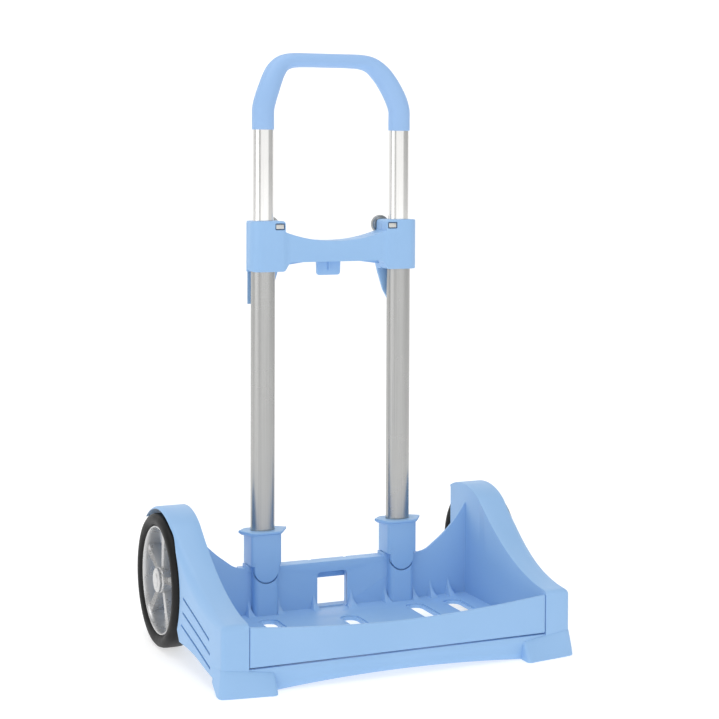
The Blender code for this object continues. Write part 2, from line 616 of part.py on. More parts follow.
# ---- wheels ------------------------------------------------------------------------
def wheel(label, side):
    """Wheel on its stub axle: rim, tyre, bushes, cap, push nut and washer."""
    centre = (0, AXLE_Y, AXLE_Z)
    silver = material("silver_plastic", (0.62, 0.63, 0.64), 0.3, 0.6)
    rubber = material("black_rubber", (0.02, 0.02, 0.022), 0.45)
    steel = material("axle_steel", STEEL, 0.3, 1.0)
    bush_white = material("white_bush", (0.85, 0.85, 0.83), 0.5)

    def spun(name, profile, steps, finish):
        made = turned(name, [(side * a, r) for a, r in profile], "x", centre, steps, finish)
        smooth(made)
        return made

    ring = [(0.1620, 0.0500), (0.1620, 0.0545), (0.1650, 0.0532), (0.1790, 0.0532),
            (0.1820, 0.0545), (0.1830, 0.0520), (0.1790, 0.0495)]
    rim = spun("wheel_rim_" + label, ring, 40, silver)
    hub = [(0.1600, 0.0060), (0.1600, 0.0110), (0.1820, 0.0125), (0.1820, 0.0060)]
    fuse(rim, spun("hub", hub, 24, None))
    for i in range(5):
        for lean in (-1, 1):
            spoke = box("spoke", (side * 0.1745 - 0.0035, -0.0016, 0.0098),
                        (side * 0.1745 + 0.0035, 0.0016, 0.0512))
            turn = Matrix.Rotation(math.radians(72 * i + 9 * lean), 4, "X")
            lean_in = Matrix.Rotation(math.radians(4 * lean), 4, "X")
            spoke.data.transform(Matrix.Translation((0, AXLE_Y, AXLE_Z)) @ turn @ lean_in)
            fuse(rim, spoke)
    smooth(rim)
    section = [(0.1635, 0.0550), (0.1600, 0.0580), (0.1597, 0.0610), (0.1625, 0.0642),
               (0.1680, WHEEL_R), (0.1765, WHEEL_R), (0.1825, 0.0642), (0.1853, 0.0610),
               (0.1850, 0.0580), (0.1810, 0.0550), (0.1780, 0.0536), (0.1660, 0.0536)]
    tyre = spun("tyre_" + label, section, 40, rubber)
    bore = AXLE_R + 0.0001
    inner_bush = [(0.1586, bore), (0.1586, 0.0080), (0.1597, 0.0080), (0.1597, 0.0057),
                  (0.1690, 0.0057), (0.1690, bore)]
    outer_bush = [(0.1720, bore), (0.1720, 0.0057), (0.1823, 0.0057), (0.1823, 0.0080),
                  (0.1834, 0.0080), (0.1834, bore)]
    inner_bush = spun("inner_bush_" + label, inner_bush, 20, bush_white)
    outer_bush = spun("outer_bush_" + label, outer_bush, 20, bush_white)
    shell = [(0.1823, 0.0100), (0.1823, 0.0119), (0.1850, 0.0119), (0.1874, 0.0085),
             (0.1880, 0.0), (0.1868, 0.0), (0.1862, 0.0078), (0.1846, 0.0100)]
    cap = spun("hub_cap_" + label, shell, 24, silver)
    for item in (rim, tyre, inner_bush, outer_bush, cap):
        set_origin(item, centre)
    axle = [(0.1300, 0.0), (0.1300, AXLE_R), (0.1855, AXLE_R), (0.1860, AXLE_R - 0.0005),
            (0.1860, 0.0)]
    spun("stub_axle_" + label, axle, 20, steel)
    nut = [(0.1837, AXLE_R + 0.00012), (0.1837, 0.0072), (0.1843, 0.0072),
           (0.1847, AXLE_R + 0.00012)]
    spun("push_nut_" + label, nut, 20, steel)
    washer = [(0.1569, AXLE_R + 0.0001), (0.1569, 0.0075), (0.1583, 0.0075),
              (0.1583, AXLE_R + 0.0001)]
    spun("axle_washer_" + label, washer, 20, steel)


# ---- assembly ----------------------------------------------------------------------
clear_scene()
tray()
rear_wall()
mirrored(side_wall(), "side_wall_left")
flap()
crossbar()
grip()
screw_steel = material("screw_steel", STEEL, 0.35, 1.0)
for number, (screw_x, screw_z) in enumerate(screw_places(), start=1):
    screw(f"crossbar_screw_{number}", (screw_x, BAR_Y[3] - 0.0003, screw_z), 0.0030, 0.0013,
          0.016, screw_steel)
for label, side in SIDES:
    socket("tube_socket_" + label, side * TUBE_X)
    screw("socket_screw_" + label, (side * TUBE_X, 0.0722, 0.050), 0.0034, 0.0014, 0.013,
          screw_steel)
    frame_tubes(label, side)
    bolt_and_nut(label, side)
    friction_pad(label, side)
    screw("grip_screw_" + label, (side * TUBE_X, TUBE_Y + 0.0110, 0.520), 0.0027, 0.0013,
          0.0060, screw_steel)
    wheel(label, side)
    rod("flap_pin_" + label, "x", (0, *HINGE), 0.0012, side * 0.1440, side * 0.1558, 12,
        material("pin_steel", STEEL, 0.3, 1.0))
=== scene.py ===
import math

import bmesh
import bpy
from mathutils import Euler, Matrix, Vector


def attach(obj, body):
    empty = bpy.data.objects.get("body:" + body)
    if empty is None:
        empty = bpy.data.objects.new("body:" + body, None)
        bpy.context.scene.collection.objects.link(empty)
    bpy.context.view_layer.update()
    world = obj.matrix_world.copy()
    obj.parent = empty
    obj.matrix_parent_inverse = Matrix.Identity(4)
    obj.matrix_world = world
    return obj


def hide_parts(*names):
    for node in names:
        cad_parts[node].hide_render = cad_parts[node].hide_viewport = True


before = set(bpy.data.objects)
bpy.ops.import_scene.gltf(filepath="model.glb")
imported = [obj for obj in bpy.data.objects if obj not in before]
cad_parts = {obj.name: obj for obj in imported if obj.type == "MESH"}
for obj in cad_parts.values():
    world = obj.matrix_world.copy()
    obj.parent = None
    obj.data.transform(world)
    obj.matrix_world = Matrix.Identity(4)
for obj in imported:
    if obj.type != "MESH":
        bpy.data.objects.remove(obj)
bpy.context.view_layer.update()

print("frame loaded:", len(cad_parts), "nodes")

sides = (("left", -1), ("right", 1))
bodyOf = {"left": {"wheel": "wheel_left", "nut": "nut_left"},
          "right": {"wheel": "wheel_right", "nut": "nut_right"}}

# places that several pieces share, in metres
shared = {
    "weld": 1e-6,
    "near": 1e-5,
    "tubeX": 0.0745,
    "tubeY": 0.0585,
    "axleY": 0.061,
    "axleZ": 0.0655,
    "frontY": -0.1205,
    "wallY": 0.054,
    "floorZ": 0.023,
    "innerX": 0.1515,
    "ledgeZ": 0.0695,
}
tubePower = 2.15        # how flat the faces of the tubes' oval section are


# shader groups

def newGroup(name, inputs, outputs):
    group = bpy.data.node_groups.new(name, "ShaderNodeTree")
    for label, kind, value in inputs:
        socket = group.interface.new_socket(label, in_out="INPUT", socket_type=kind)
        if value is not None:
            socket.default_value = value
    for label, kind in outputs:
        group.interface.new_socket(label, in_out="OUTPUT", socket_type=kind)
    return group, group.nodes.new("NodeGroupInput"), group.nodes.new("NodeGroupOutput")


def noiseNode(nodes, scale, detail=3.0, rough=0.5):
    noise = nodes.new("ShaderNodeTexNoise")
    noise.inputs["Scale"].default_value = scale
    noise.inputs["Detail"].default_value = detail
    noise.inputs["Roughness"].default_value = rough
    return noise


def makeMouldGrain():
    # spark-eroded mould skin: fine pits, broad flow clouds and a slight change of gloss
    group, start, end = newGroup(
        "mouldGrain",
        [("Vector", "NodeSocketVector", None), ("Grain Size", "NodeSocketFloat", 1500.0)],
        [("Cloud", "NodeSocketFloat"), ("Gloss", "NodeSocketFloat"), ("Height", "NodeSocketFloat")])
    nodes, links = group.nodes, group.links
    cloud = noiseNode(nodes, 14.0, 4.0, 0.55)
    gloss = noiseNode(nodes, 55.0, 3.0, 0.6)
    grain = noiseNode(nodes, 1500.0, 2.0, 0.5)
    pits = nodes.new("ShaderNodeTexVoronoi")
    mixed = nodes.new("ShaderNodeMath")
    mixed.operation = "MULTIPLY_ADD"
    mixed.inputs[1].default_value = 0.6
    for node in (cloud, gloss, grain, pits):
        links.new(start.outputs["Vector"], node.inputs["Vector"])
    links.new(start.outputs["Grain Size"], grain.inputs["Scale"])
    links.new(start.outputs["Grain Size"], pits.inputs["Scale"])
    links.new(pits.outputs["Distance"], mixed.inputs[0])
    links.new(grain.outputs["Fac"], mixed.inputs[2])
    links.new(cloud.outputs["Fac"], end.inputs["Cloud"])
    links.new(gloss.outputs["Fac"], end.inputs["Gloss"])
    links.new(mixed.outputs[0], end.inputs["Height"])
    return group


def makeDrawnLines():
    # fine lines along Z left by drawing and polishing a tube, with faint handling smears
    group, start, end = newGroup(
        "drawnLines",
        [("Vector", "NodeSocketVector", None), ("Stretch", "NodeSocketVector", (2200, 2200, 6))],
        [("Lines", "NodeSocketFloat"), ("Smear", "NodeSocketFloat")])
    nodes, links = group.nodes, group.links
    scaled = nodes.new("ShaderNodeVectorMath")
    scaled.operation = "MULTIPLY"
    lines = noiseNode(nodes, 1.0, 4.0, 0.65)
    smear = noiseNode(nodes, 28.0, 3.0, 0.55)
    links.new(start.outputs["Vector"], scaled.inputs[0])
    links.new(start.outputs["Stretch"], scaled.inputs[1])
    links.new(scaled.outputs[0], lines.inputs["Vector"])
    links.new(start.outputs["Vector"], smear.inputs["Vector"])
    links.new(lines.outputs["Fac"], end.inputs["Lines"])
    links.new(smear.outputs["Fac"], end.inputs["Smear"])
    return group


mouldGrain = makeMouldGrain()
drawnLines = makeDrawnLines()


def blankMaterial(name):
    material = bpy.data.materials.new(name)
    material.use_nodes = True
    nodes, links = material.node_tree.nodes, material.node_tree.links
    return material, nodes, links, nodes["Principled BSDF"]


def placeGroup(nodes, links, group):
    node = nodes.new("ShaderNodeGroup")
    node.node_tree = group
    coords = nodes.new("ShaderNodeTexCoord")
    links.new(coords.outputs["Object"], node.inputs["Vector"])
    return node


def rangeNode(nodes, links, source, low, high, fromLow=0.3, fromHigh=0.7):
    node = nodes.new("ShaderNodeMapRange")
    node.inputs["From Min"].default_value = fromLow
    node.inputs["From Max"].default_value = fromHigh
    node.inputs["To Min"].default_value = low
    node.inputs["To Max"].default_value = high
    links.new(source, node.inputs["Value"])
    return node.outputs["Result"]


def colourMix(nodes, links, factor, dark, light):
    ramp = nodes.new("ShaderNodeValToRGB")
    ramp.color_ramp.elements[0].position = 0.3
    ramp.color_ramp.elements[0].color = (*dark, 1)
    ramp.color_ramp.elements[1].position = 0.7
    ramp.color_ramp.elements[1].color = (*light, 1)
    links.new(factor, ramp.inputs["Fac"])
    return ramp.outputs["Color"]


def bumpNode(nodes, links, height, strength, distance):
    bump = nodes.new("ShaderNodeBump")
    bump.inputs["Strength"].default_value = strength
    bump.inputs["Distance"].default_value = distance
    links.new(height, bump.inputs["Height"])
    return bump.outputs["Normal"]


def mouldedPlastic(name, dark, light, roughness, grain, depth, metallic=0.0, specular=0.5):
    material, nodes, links, shader = blankMaterial(name)
    skin = placeGroup(nodes, links, mouldGrain)
    skin.inputs["Grain Size"].default_value = grain
    links.new(colourMix(nodes, links, skin.outputs["Cloud"], dark, light),
              shader.inputs["Base Color"])
    links.new(rangeNode(nodes, links, skin.outputs["Gloss"], roughness - 0.05, roughness + 0.06),
              shader.inputs["Roughness"])
    links.new(bumpNode(nodes, links, skin.outputs["Height"], 0.35, depth), shader.inputs["Normal"])
    shader.inputs["Specular IOR Level"].default_value = specular
    shader.inputs["Metallic"].default_value = metallic
    return material


def drawnMetal(name, dark, light, roughness, depth, stretch=(2200, 2200, 6)):
    material, nodes, links, shader = blankMaterial(name)
    skin = placeGroup(nodes, links, drawnLines)
    skin.inputs["Stretch"].default_value = stretch
    links.new(colourMix(nodes, links, skin.outputs["Lines"], dark, light),
              shader.inputs["Base Color"])
    links.new(rangeNode(nodes, links, skin.outputs["Smear"], roughness - 0.03, roughness + 0.04),
              shader.inputs["Roughness"])
    links.new(bumpNode(nodes, links, skin.outputs["Lines"], 0.3, depth), shader.inputs["Normal"])
    shader.inputs["Metallic"].default_value = 1.0
    return material


finishes = {
    "traySkin": mouldedPlastic("traySkin", (0.302, 0.518, 0.82), (0.322, 0.538, 0.84), 0.42,
                               1500, 0.00006),
    "gripSkin": mouldedPlastic("gripSkin", (0.31, 0.505, 0.815), (0.33, 0.525, 0.835), 0.5,
                               1100, 0.0001),
    "wheelSilver": mouldedPlastic("wheelSilver", (0.56, 0.56, 0.56), (0.64, 0.64, 0.64), 0.28,
                                  1800, 0.00004, 0.6),
    "tyreRubber": mouldedPlastic("tyreRubber", (0.004, 0.004, 0.0042), (0.008, 0.008, 0.008), 0.5,
                                 900, 0.0001, 0.0, 0.28),
    "blackPlastic": mouldedPlastic("blackPlastic", (0.02, 0.02, 0.022), (0.035, 0.035, 0.038),
                                   0.45, 1500, 0.00006),
    "bushWhite": mouldedPlastic("bushWhite", (0.74, 0.74, 0.71), (0.8, 0.8, 0.77), 0.4,
                                1500, 0.00005),
    "polishedTube": drawnMetal("polishedTube", (0.74, 0.735, 0.72), (0.81, 0.805, 0.79), 0.15,
                               0.00001),
    "satinTube": drawnMetal("satinTube", (0.40, 0.40, 0.395), (0.48, 0.48, 0.47), 0.28, 0.00002),
    "zincSteel": drawnMetal("zincSteel", (0.52, 0.52, 0.5), (0.64, 0.64, 0.62), 0.3, 0.00002,
                            (900, 900, 900)),
    "nutSteel": drawnMetal("nutSteel", (0.3, 0.31, 0.31), (0.42, 0.43, 0.43), 0.36, 0.00003,
                           (700, 700, 700)),
}
print("materials made:", len(finishes))


# modelling helpers

def meshObject(name, bm):
    mesh = bpy.data.meshes.new(name)
    bm.to_mesh(mesh)
    bm.free()
    made = bpy.data.objects.new(name, mesh)
    bpy.context.scene.collection.objects.link(made)
    return made


def cleanUp(bm):
    bmesh.ops.remove_doubles(bm, verts=bm.verts, dist=shared["weld"])
    bmesh.ops.recalc_face_normals(bm, faces=bm.faces)


def finishPiece(name, bm, finish, body, replaced=(), sharpAngle=35):
    cleanUp(bm)
    made = meshObject(name, bm)
    made.data.shade_smooth()
    made.data.set_sharp_from_angle(angle=math.radians(sharpAngle))
    made.data.materials.clear()
    made.data.materials.append(finishes[finish])
    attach(made, body)
    if replaced:
        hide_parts(*replaced)
    return made


def addTo(bm, other):
    # put the shapes of other into bm
    mesh = bpy.data.meshes.new("carried")
    other.to_mesh(mesh)
    other.free()
    bm.from_mesh(mesh)
    bpy.data.meshes.remove(mesh)
    return bm


def flipSide(bm, side):
    if side < 0:
        bmesh.ops.scale(bm, vec=(-1, 1, 1), verts=bm.verts)
        bmesh.ops.reverse_faces(bm, faces=bm.faces)
    return bm


def loft(rings, closed=True):
    # skin a row of rings of points, with a cap on the first and the last
    bm = bmesh.new()
    loops = []
    for ring in rings:
        verts = [bm.verts.new(point) for point in ring]
        loops.append([bm.edges.new((verts[i - 1], verts[i])) for i in range(len(verts))])
    for first, second in zip(loops, loops[1:]):
        bmesh.ops.bridge_loops(bm, edges=first + second)
    if closed:
        bmesh.ops.contextual_create(bm, geom=loops[0])
        bmesh.ops.contextual_create(bm, geom=loops[-1])
    bmesh.ops.recalc_face_normals(bm, faces=bm.faces)
    return bm


def slab(outline, axis, low, high):
    # an outline of (u, v) points pulled along one axis
    put = {"x": lambda u, v, w: (w, u, v), "y": lambda u, v, w: (u, w, v),
           "z": lambda u, v, w: (u, v, w)}[axis]
    return loft([[put(u, v, level) for u, v in outline] for level in (low, high)])


def bevelEdges(bm, edges, radius, segments=3):
    if edges:
        bmesh.ops.bevel(bm, geom=edges, offset=radius, offset_type="OFFSET", segments=segments,
                        profile=0.5, affect="EDGES", clamp_overlap=True, material=-1)
    return bm


def bevelWhere(bm, radius, segments, keep, angle=30):
    # round the edges that turn by more than angle and that keep(edge) picks
    limit = math.radians(angle)
    bmesh.ops.recalc_face_normals(bm, faces=bm.faces)
    edges = [e for e in bm.edges if len(e.link_faces) == 2
             and e.calc_face_angle(0) > limit and keep(e)]
    return bevelEdges(bm, edges, radius, segments)


def block(low, high, radius=0.0, segments=3):
    bm = bmesh.new()
    bmesh.ops.create_cube(bm, size=1.0)
    size = Vector(high) - Vector(low)
    bmesh.ops.scale(bm, vec=size, verts=bm.verts)
    bmesh.ops.translate(bm, vec=(Vector(high) + Vector(low)) / 2, verts=bm.verts)
    if radius:
        bevelEdges(bm, bm.edges[:], radius, segments)
    return bm


def lathe(profile, axis, centre, steps=64):
    # spin (along, radius) points round an axis through centre
    direction = Vector([1.0 if axis == letter else 0.0 for letter in "xyz"])
    outward = Vector((1, 0, 0)) if axis == "z" else Vector((0, 0, 1))
    middle = Vector(centre)
    bm = bmesh.new()
    verts = [bm.verts.new(middle + direction * along + outward * radius)
             for along, radius in profile]
    edges = [bm.edges.new((verts[i - 1], verts[i])) for i in range(len(verts))
             if profile[i - 1][1] > 0 or profile[i][1] > 0]
    bmesh.ops.spin(bm, geom=verts + edges, cent=middle, axis=direction, angle=math.tau,
                   steps=steps, use_merge=True)
    bmesh.ops.remove_doubles(bm, verts=bm.verts, dist=shared["weld"])
    bmesh.ops.recalc_face_normals(bm, faces=bm.faces)
    return bm


def carve(bm, tools, operation="DIFFERENCE"):
    # exact Boolean of each tool on bm; returns the new bmesh
    target = meshObject("carved", bm)
    for tool in tools:
        cutter = meshObject("cutter", tool)
        step = target.modifiers.new("carve", "BOOLEAN")
        step.operation = operation
        step.solver = "EXACT"
        step.object = cutter
        graph = bpy.context.evaluated_depsgraph_get()
        result = bpy.data.meshes.new_from_object(target.evaluated_get(graph))
        target.modifiers.clear()
        target.data = result
        bpy.data.objects.remove(cutter, do_unlink=True)
    made = bmesh.new()
    made.from_mesh(target.data)
    bpy.data.objects.remove(target, do_unlink=True)
    bmesh.ops.remove_doubles(made, verts=made.verts, dist=2e-6)
    bmesh.ops.dissolve_degenerate(made, dist=2e-6, edges=made.edges)
    return made


def arcPoints(centre, radius, start, end, steps):
    points = []
    for i in range(steps + 1):
        turn = math.radians(start + (end - start) * i / steps)
        points.append((centre[0] + radius * math.cos(turn), centre[1] + radius * math.sin(turn)))
    return points


def curveAt(points, place):
    # smooth curve through (place, value, ...) points, read at one place
    count = len(points)
    i = max(0, min(count - 2, sum(1 for p in points if p[0] <= place) - 1))
    p0, p1 = points[max(i - 1, 0)], points[i]
    p2, p3 = points[i + 1], points[min(i + 2, count - 1)]
    run = p2[0] - p1[0]
    t = max(0.0, min(1.0, (place - p1[0]) / run))
    values = []
    for k in range(1, len(p1)):
        slope1 = (p2[k] - p0[k]) / (p2[0] - p0[0]) * run
        slope2 = (p3[k] - p1[k]) / (p3[0] - p1[0]) * run
        values.append((2 * t**3 - 3 * t**2 + 1) * p1[k] + (t**3 - 2 * t**2 + t) * slope1
                      + (3 * t**2 - 2 * t**3) * p2[k] + (t**3 - t**2) * slope2)
    return values if len(values) > 1 else values[0]


def ovalPoints(x, y, half, steps, power=2.0):
    # flattened oval; a power above 2 makes its faces flatter
    points = []
    for i in range(steps):
        turn = math.tau * i / steps
        c, s = math.cos(turn), math.sin(turn)
        points.append((x + half[0] * math.copysign(abs(c) ** (2 / power), c),
                       y + half[1] * math.copysign(abs(s) ** (2 / power), s)))
    return points


def stadium(x, low, high, half, steps=10):
    return (arcPoints((x, high - half), half, 0, 180, steps)
            + arcPoints((x, low + half), half, 180, 360, steps))


# side shells of the tray

sideShell = {
    "wall": 0.0025,
    "outerX": [(-0.1205, 0.1774), (-0.06, 0.1795), (0.0, 0.1822), (0.105, 0.1826)],
    "top": [(-0.1205, 0.0645), (-0.095, 0.0676), (-0.0675, 0.0746), (-0.0385, 0.0864),
            (-0.0165, 0.0985), (0.0035, 0.1117), (0.020, 0.1241)],
    "bottom": [(-0.1205, 0.004), (-0.1065, 0.0103), (-0.0765, 0.0153), (-0.046, 0.0205),
               (-0.0185, 0.0222), (0.105, 0.0210)],
    "corner": [(-0.1205, 0.0055), (-0.095, 0.0075), (-0.06, 0.0098), (-0.02, 0.0098),
               (0.01, 0.0075), (0.035, 0.0048), (0.061, 0.004), (0.105, 0.0035)],
    "lipEnd": [(0.150, 0.0898), (0.183, 0.1060), (0.183, 0.13), (0.150, 0.13)],
    "fenderRadius": 0.0719,
    "archRadius": 0.0697,
    "tipY": 0.1045,
    "frontRound": 0.0035,
    "plateEndY": 0.0895,
    "louvres": [(-0.0175, 0.0666, -0.0875, 0.0447), (-0.0165, 0.0526, -0.0895, 0.0320),
                (-0.0125, 0.0398, -0.0905, 0.0192)],
    "louvreGap": 0.0026, "louvreX": (0.168, 0.19),
    "flare": [(0.008, 0.040), (0.0005, 0.0335), (-0.0035, 0.0275), (-0.010, 0.018),
              (0.03, 0.018), (0.03, 0.040)],
    "innerEdge": 0.0011, "leastCorner": 0.0008, "stations": 60,
    "openZ": -0.02, "openY": 0.13, "farX": 0.2, "lipLow": 0.08, "lipHigh": 0.16,
}


def shellTop(y):
    if y > sideShell["top"][-1][0]:
        reach = sideShell["fenderRadius"] ** 2 - (y - shared["axleY"]) ** 2
        return shared["axleZ"] + math.sqrt(reach)
    return curveAt(sideShell["top"], y)


def shellRing(y, inset, innerInset, low=None):
    place = min(y, sideShell["tipY"])
    top = shellTop(place) - inset
    outer = curveAt(sideShell["outerX"], place) - inset
    radius = max(curveAt(sideShell["corner"], place) - inset, sideShell["leastCorner"])
    inner = shared["innerX"] + innerInset
    bottom = curveAt(sideShell["bottom"], place) if low is None else low
    edge = sideShell["innerEdge"]
    ring = [(inner, bottom), (inner, (bottom + top) / 2), (inner, top - edge),
            (inner + edge * 0.3, top - edge * 0.3), (inner + edge, top)]
    ring.append(((inner + edge + outer - radius) / 2, top))
    ring += arcPoints((outer - radius, top - radius), radius, 90, 0, 9)
    ring += [(outer, (bottom + top - radius) / 2), (outer, bottom)]
    return [(x, y, z) for x, z in ring]


def shellRings(inset, innerInset, low=None):
    first = shared["frontY"] + inset
    last = sideShell["tipY"]
    rounding, stations = sideShell["frontRound"], sideShell["stations"]
    rings = []
    for i in range(5):
        turn = math.radians(90 * i / 4)
        shrink = rounding * (1 - math.sin(turn))
        rings.append(shellRing(first + rounding * (1 - math.cos(turn)), inset + shrink,
                               innerInset, low))
    for i in range(1, stations + 1):
        rings.append(shellRing(first + rounding + (last - first - rounding) * i / stations,
                               inset, innerInset, low))
    return rings


def makeSideShell(label, side):
    wall = sideShell["wall"]
    axle = (0, shared["axleY"], shared["axleZ"])
    inner, far = shared["innerX"], sideShell["farX"]
    body = loft(shellRings(0.0, 0.0))
    hollowRings = shellRings(wall, wall, sideShell["openZ"])
    hollowRings.append([(x, sideShell["openY"], z) for x, y, z in hollowRings[-1]])
    hollow = loft(hollowRings)
    # behind the crest the hollow drops below the arch, so that the arch alone shapes the fender
    bmesh.ops.translate(hollow, vec=(0, 0, -0.0004), verts=hollow.verts)
    arch = sideShell["archRadius"]
    well = lathe([(inner + wall, 0), (inner + wall, arch), (far, arch), (far, 0)], "x", axle, 128)
    flare = slab(sideShell["flare"], "x", inner + wall + 0.0001, far)
    end = sideShell["plateEndY"]
    lift = math.sqrt(arch ** 2 - (end - shared["axleY"]) ** 2)
    turn = math.degrees(math.atan2(lift, end - shared["axleY"]))
    behind = arcPoints((shared["axleY"], shared["axleZ"]), arch, turn, 25, 8)
    behind = slab([(end, 0.0)] + behind + [(0.13, 0.08), (0.13, 0.0)], "x", inner - 0.01,
                  inner + wall + 0.0002)
    louvres = []
    gap = sideShell["louvreGap"] / 2
    for rearY, rearZ, frontY, frontZ in sideShell["louvres"]:
        louvres.append(slab([(rearY, rearZ - gap), (rearY, rearZ + gap), (frontY, frontZ + gap),
                             (frontY, frontZ - gap)], "x", *sideShell["louvreX"]))
    lipEnd = slab(sideShell["lipEnd"], "z", sideShell["lipLow"], sideShell["lipHigh"])
    body = carve(body, [hollow, well, flare, behind, lipEnd] + louvres)
    return finishPiece("side_shell_" + label, flipSide(body, side), "traySkin", "base",
                       ("side_wall_" + label,), 28)


for label, side in sides:
    makeSideShell(label, side)
print("side shells done")


# feet and skirt

foot = {
    "inner": 0.1266, "outerTop": 0.1776, "outerLow": 0.1808,
    "frontTop": -0.12085, "frontOuter": -0.1243, "frontInner": -0.1316,
    "backY": -0.100, "outerHeight": 0.0262, "innerHeight": 0.0186,
    "outerRound": 0.0042, "innerRound": 0.0038,
    "lean": 1.2, "trimY": -0.1175, "trimSlope": 0.55,
    "lowEdge": [(0.0, 0.0012), (0.016, 0.0005), (0.045, 0.0)], "levels": 8,
    "highEdge": [(0.985, 0.0002), (1.0, 0.0007)], "sideTop": 0.97,
}


def footRing(share, inset):
    # plan of the foot at one share of its height; the toe comes forward towards the middle
    rise = share ** foot["lean"]
    outer = foot["outerLow"] + (foot["outerTop"] - foot["outerLow"]) * rise - inset
    inner = foot["inner"] + inset

    def across(x, innerKey, outerKey):
        part = (x - foot["inner"]) / (foot["outerLow"] - foot["inner"])
        return foot[innerKey] + (foot[outerKey] - foot[innerKey]) * part

    def front(x):
        low = across(x, "frontInner", "frontOuter")
        return low + (foot["frontTop"] - low) * rise + inset

    r, q, back = foot["outerRound"], foot["innerRound"], foot["backY"]
    plan = arcPoints((outer - r, front(outer) + r), r, 0, -90, 6)
    for i in range(1, 10):
        x = outer - r + (inner + q - outer + r) * i / 10
        plan.append((x, front(x)))
    plan += arcPoints((inner + q, front(inner) + q), q, -90, -180, 5)
    plan += [(inner, back), (outer, back)]
    return [(x, y, share * across(x, "innerHeight", "outerHeight")) for x, y in plan]


def makeFoot(label, side):
    start = foot["lowEdge"][-1][0]
    steps = foot["levels"]
    rings = [footRing(share, inset) for share, inset in foot["lowEdge"]]
    rings += [footRing(start + (foot["sideTop"] - start) * i / steps, 0.0)
              for i in range(1, steps + 1)]
    rings += [footRing(share, inset) for share, inset in foot["highEdge"]]
    body = loft(rings)
    # what would stand inside the tray behind the sloping plane is cut off
    bmesh.ops.bisect_plane(body, geom=body.verts[:] + body.edges[:] + body.faces[:],
                           dist=shared["weld"], plane_co=(0, foot["trimY"], 0),
                           plane_no=(0, foot["trimSlope"], -1), clear_outer=True)
    rim = [e for e in body.edges if len(e.link_faces) == 1]
    bmesh.ops.contextual_create(body, geom=rim)
    return finishPiece("front_foot_" + label, flipSide(body, side), "traySkin", "base", ())


skirt = {
    "halfWidth": 0.1516, "footX": 0.1290, "topZ": 0.0226, "endZ": 0.0010, "middleZ": 0.0066,
    "wall": 0.0025, "frontGap": 0.0002, "edge": 0.0005, "lip": 0.0004, "hem": (0.0008, 0.0006),
    "shelf": 0.007, "columns": 14, "rows": 8,
    "lean": [(0.0, 0.0), (0.25, 0.0001), (0.42, 0.0009), (0.55, 0.0012), (0.8, 0.0018),
             (1.0, 0.0034)],
}


def makeSkirt():
    rings = []
    columns, rows = skirt["columns"], skirt["rows"]
    crown = skirt["topZ"] + skirt["lip"]
    for i in range(2 * columns + 1):
        x = skirt["halfWidth"] * (i / columns - 1)
        share = min(abs(x) / skirt["footX"], 1.0)
        low = skirt["middleZ"] - (skirt["middleZ"] - skirt["endZ"]) * share ** 2
        front, back = [], []
        for j in range(rows + 1):
            share = j / rows
            y = shared["frontY"] + skirt["frontGap"] + curveAt(skirt["lean"], share)
            z = skirt["topZ"] + (low - skirt["topZ"]) * share
            front.append((x, y, z))
            back.append((x, y + skirt["wall"], z))
        front[0] = (x, front[0][1] + skirt["edge"], front[0][2])
        hemY, hemZ = skirt["hem"]
        rings.append([(x, front[0][1], crown)] + front + [(x, front[-1][1] + hemY, low - hemZ)]
                     + back[::-1] + [(x, shared["frontY"] + skirt["shelf"], crown)])
    return finishPiece("front_skirt", loft(rings), "traySkin", "base", ())


for label, side in sides:
    makeFoot(label, side)
makeSkirt()
print("feet and skirt done")


# floor with its slots

floorPan = {
    "frontY": -0.1162, "backY": 0.0690, "wall": 0.0025,
    "slotX": (-0.1225, -0.080, 0.0, 0.080, 0.1225),
    "slotHalf": 0.0074, "slotFront": -0.090, "slotBack": 0.0305, "middleBack": 0.0132,
    "rim": 0.0010, "recess": 0.0026, "collar": 0.0045,
    "dishHalf": 0.0160, "dishReach": 0.0225, "dishDepth": 0.0013, "dishRim": 0.0009,
    "sideLap": 0.0008, "below": 0.02, "above": 0.01,
}


def topRims(body, half, behind, before):
    # edges of the openings in the floor's top, between two places along Y
    top, near = shared["floorZ"], shared["near"]
    return [e for e in body.edges
            if all(abs(v.co.z - top) < near and abs(v.co.x) < half and behind < v.co.y < before
                   for v in e.verts)
            and any(abs(f.normal.z) < 0.5 for f in e.link_faces)]


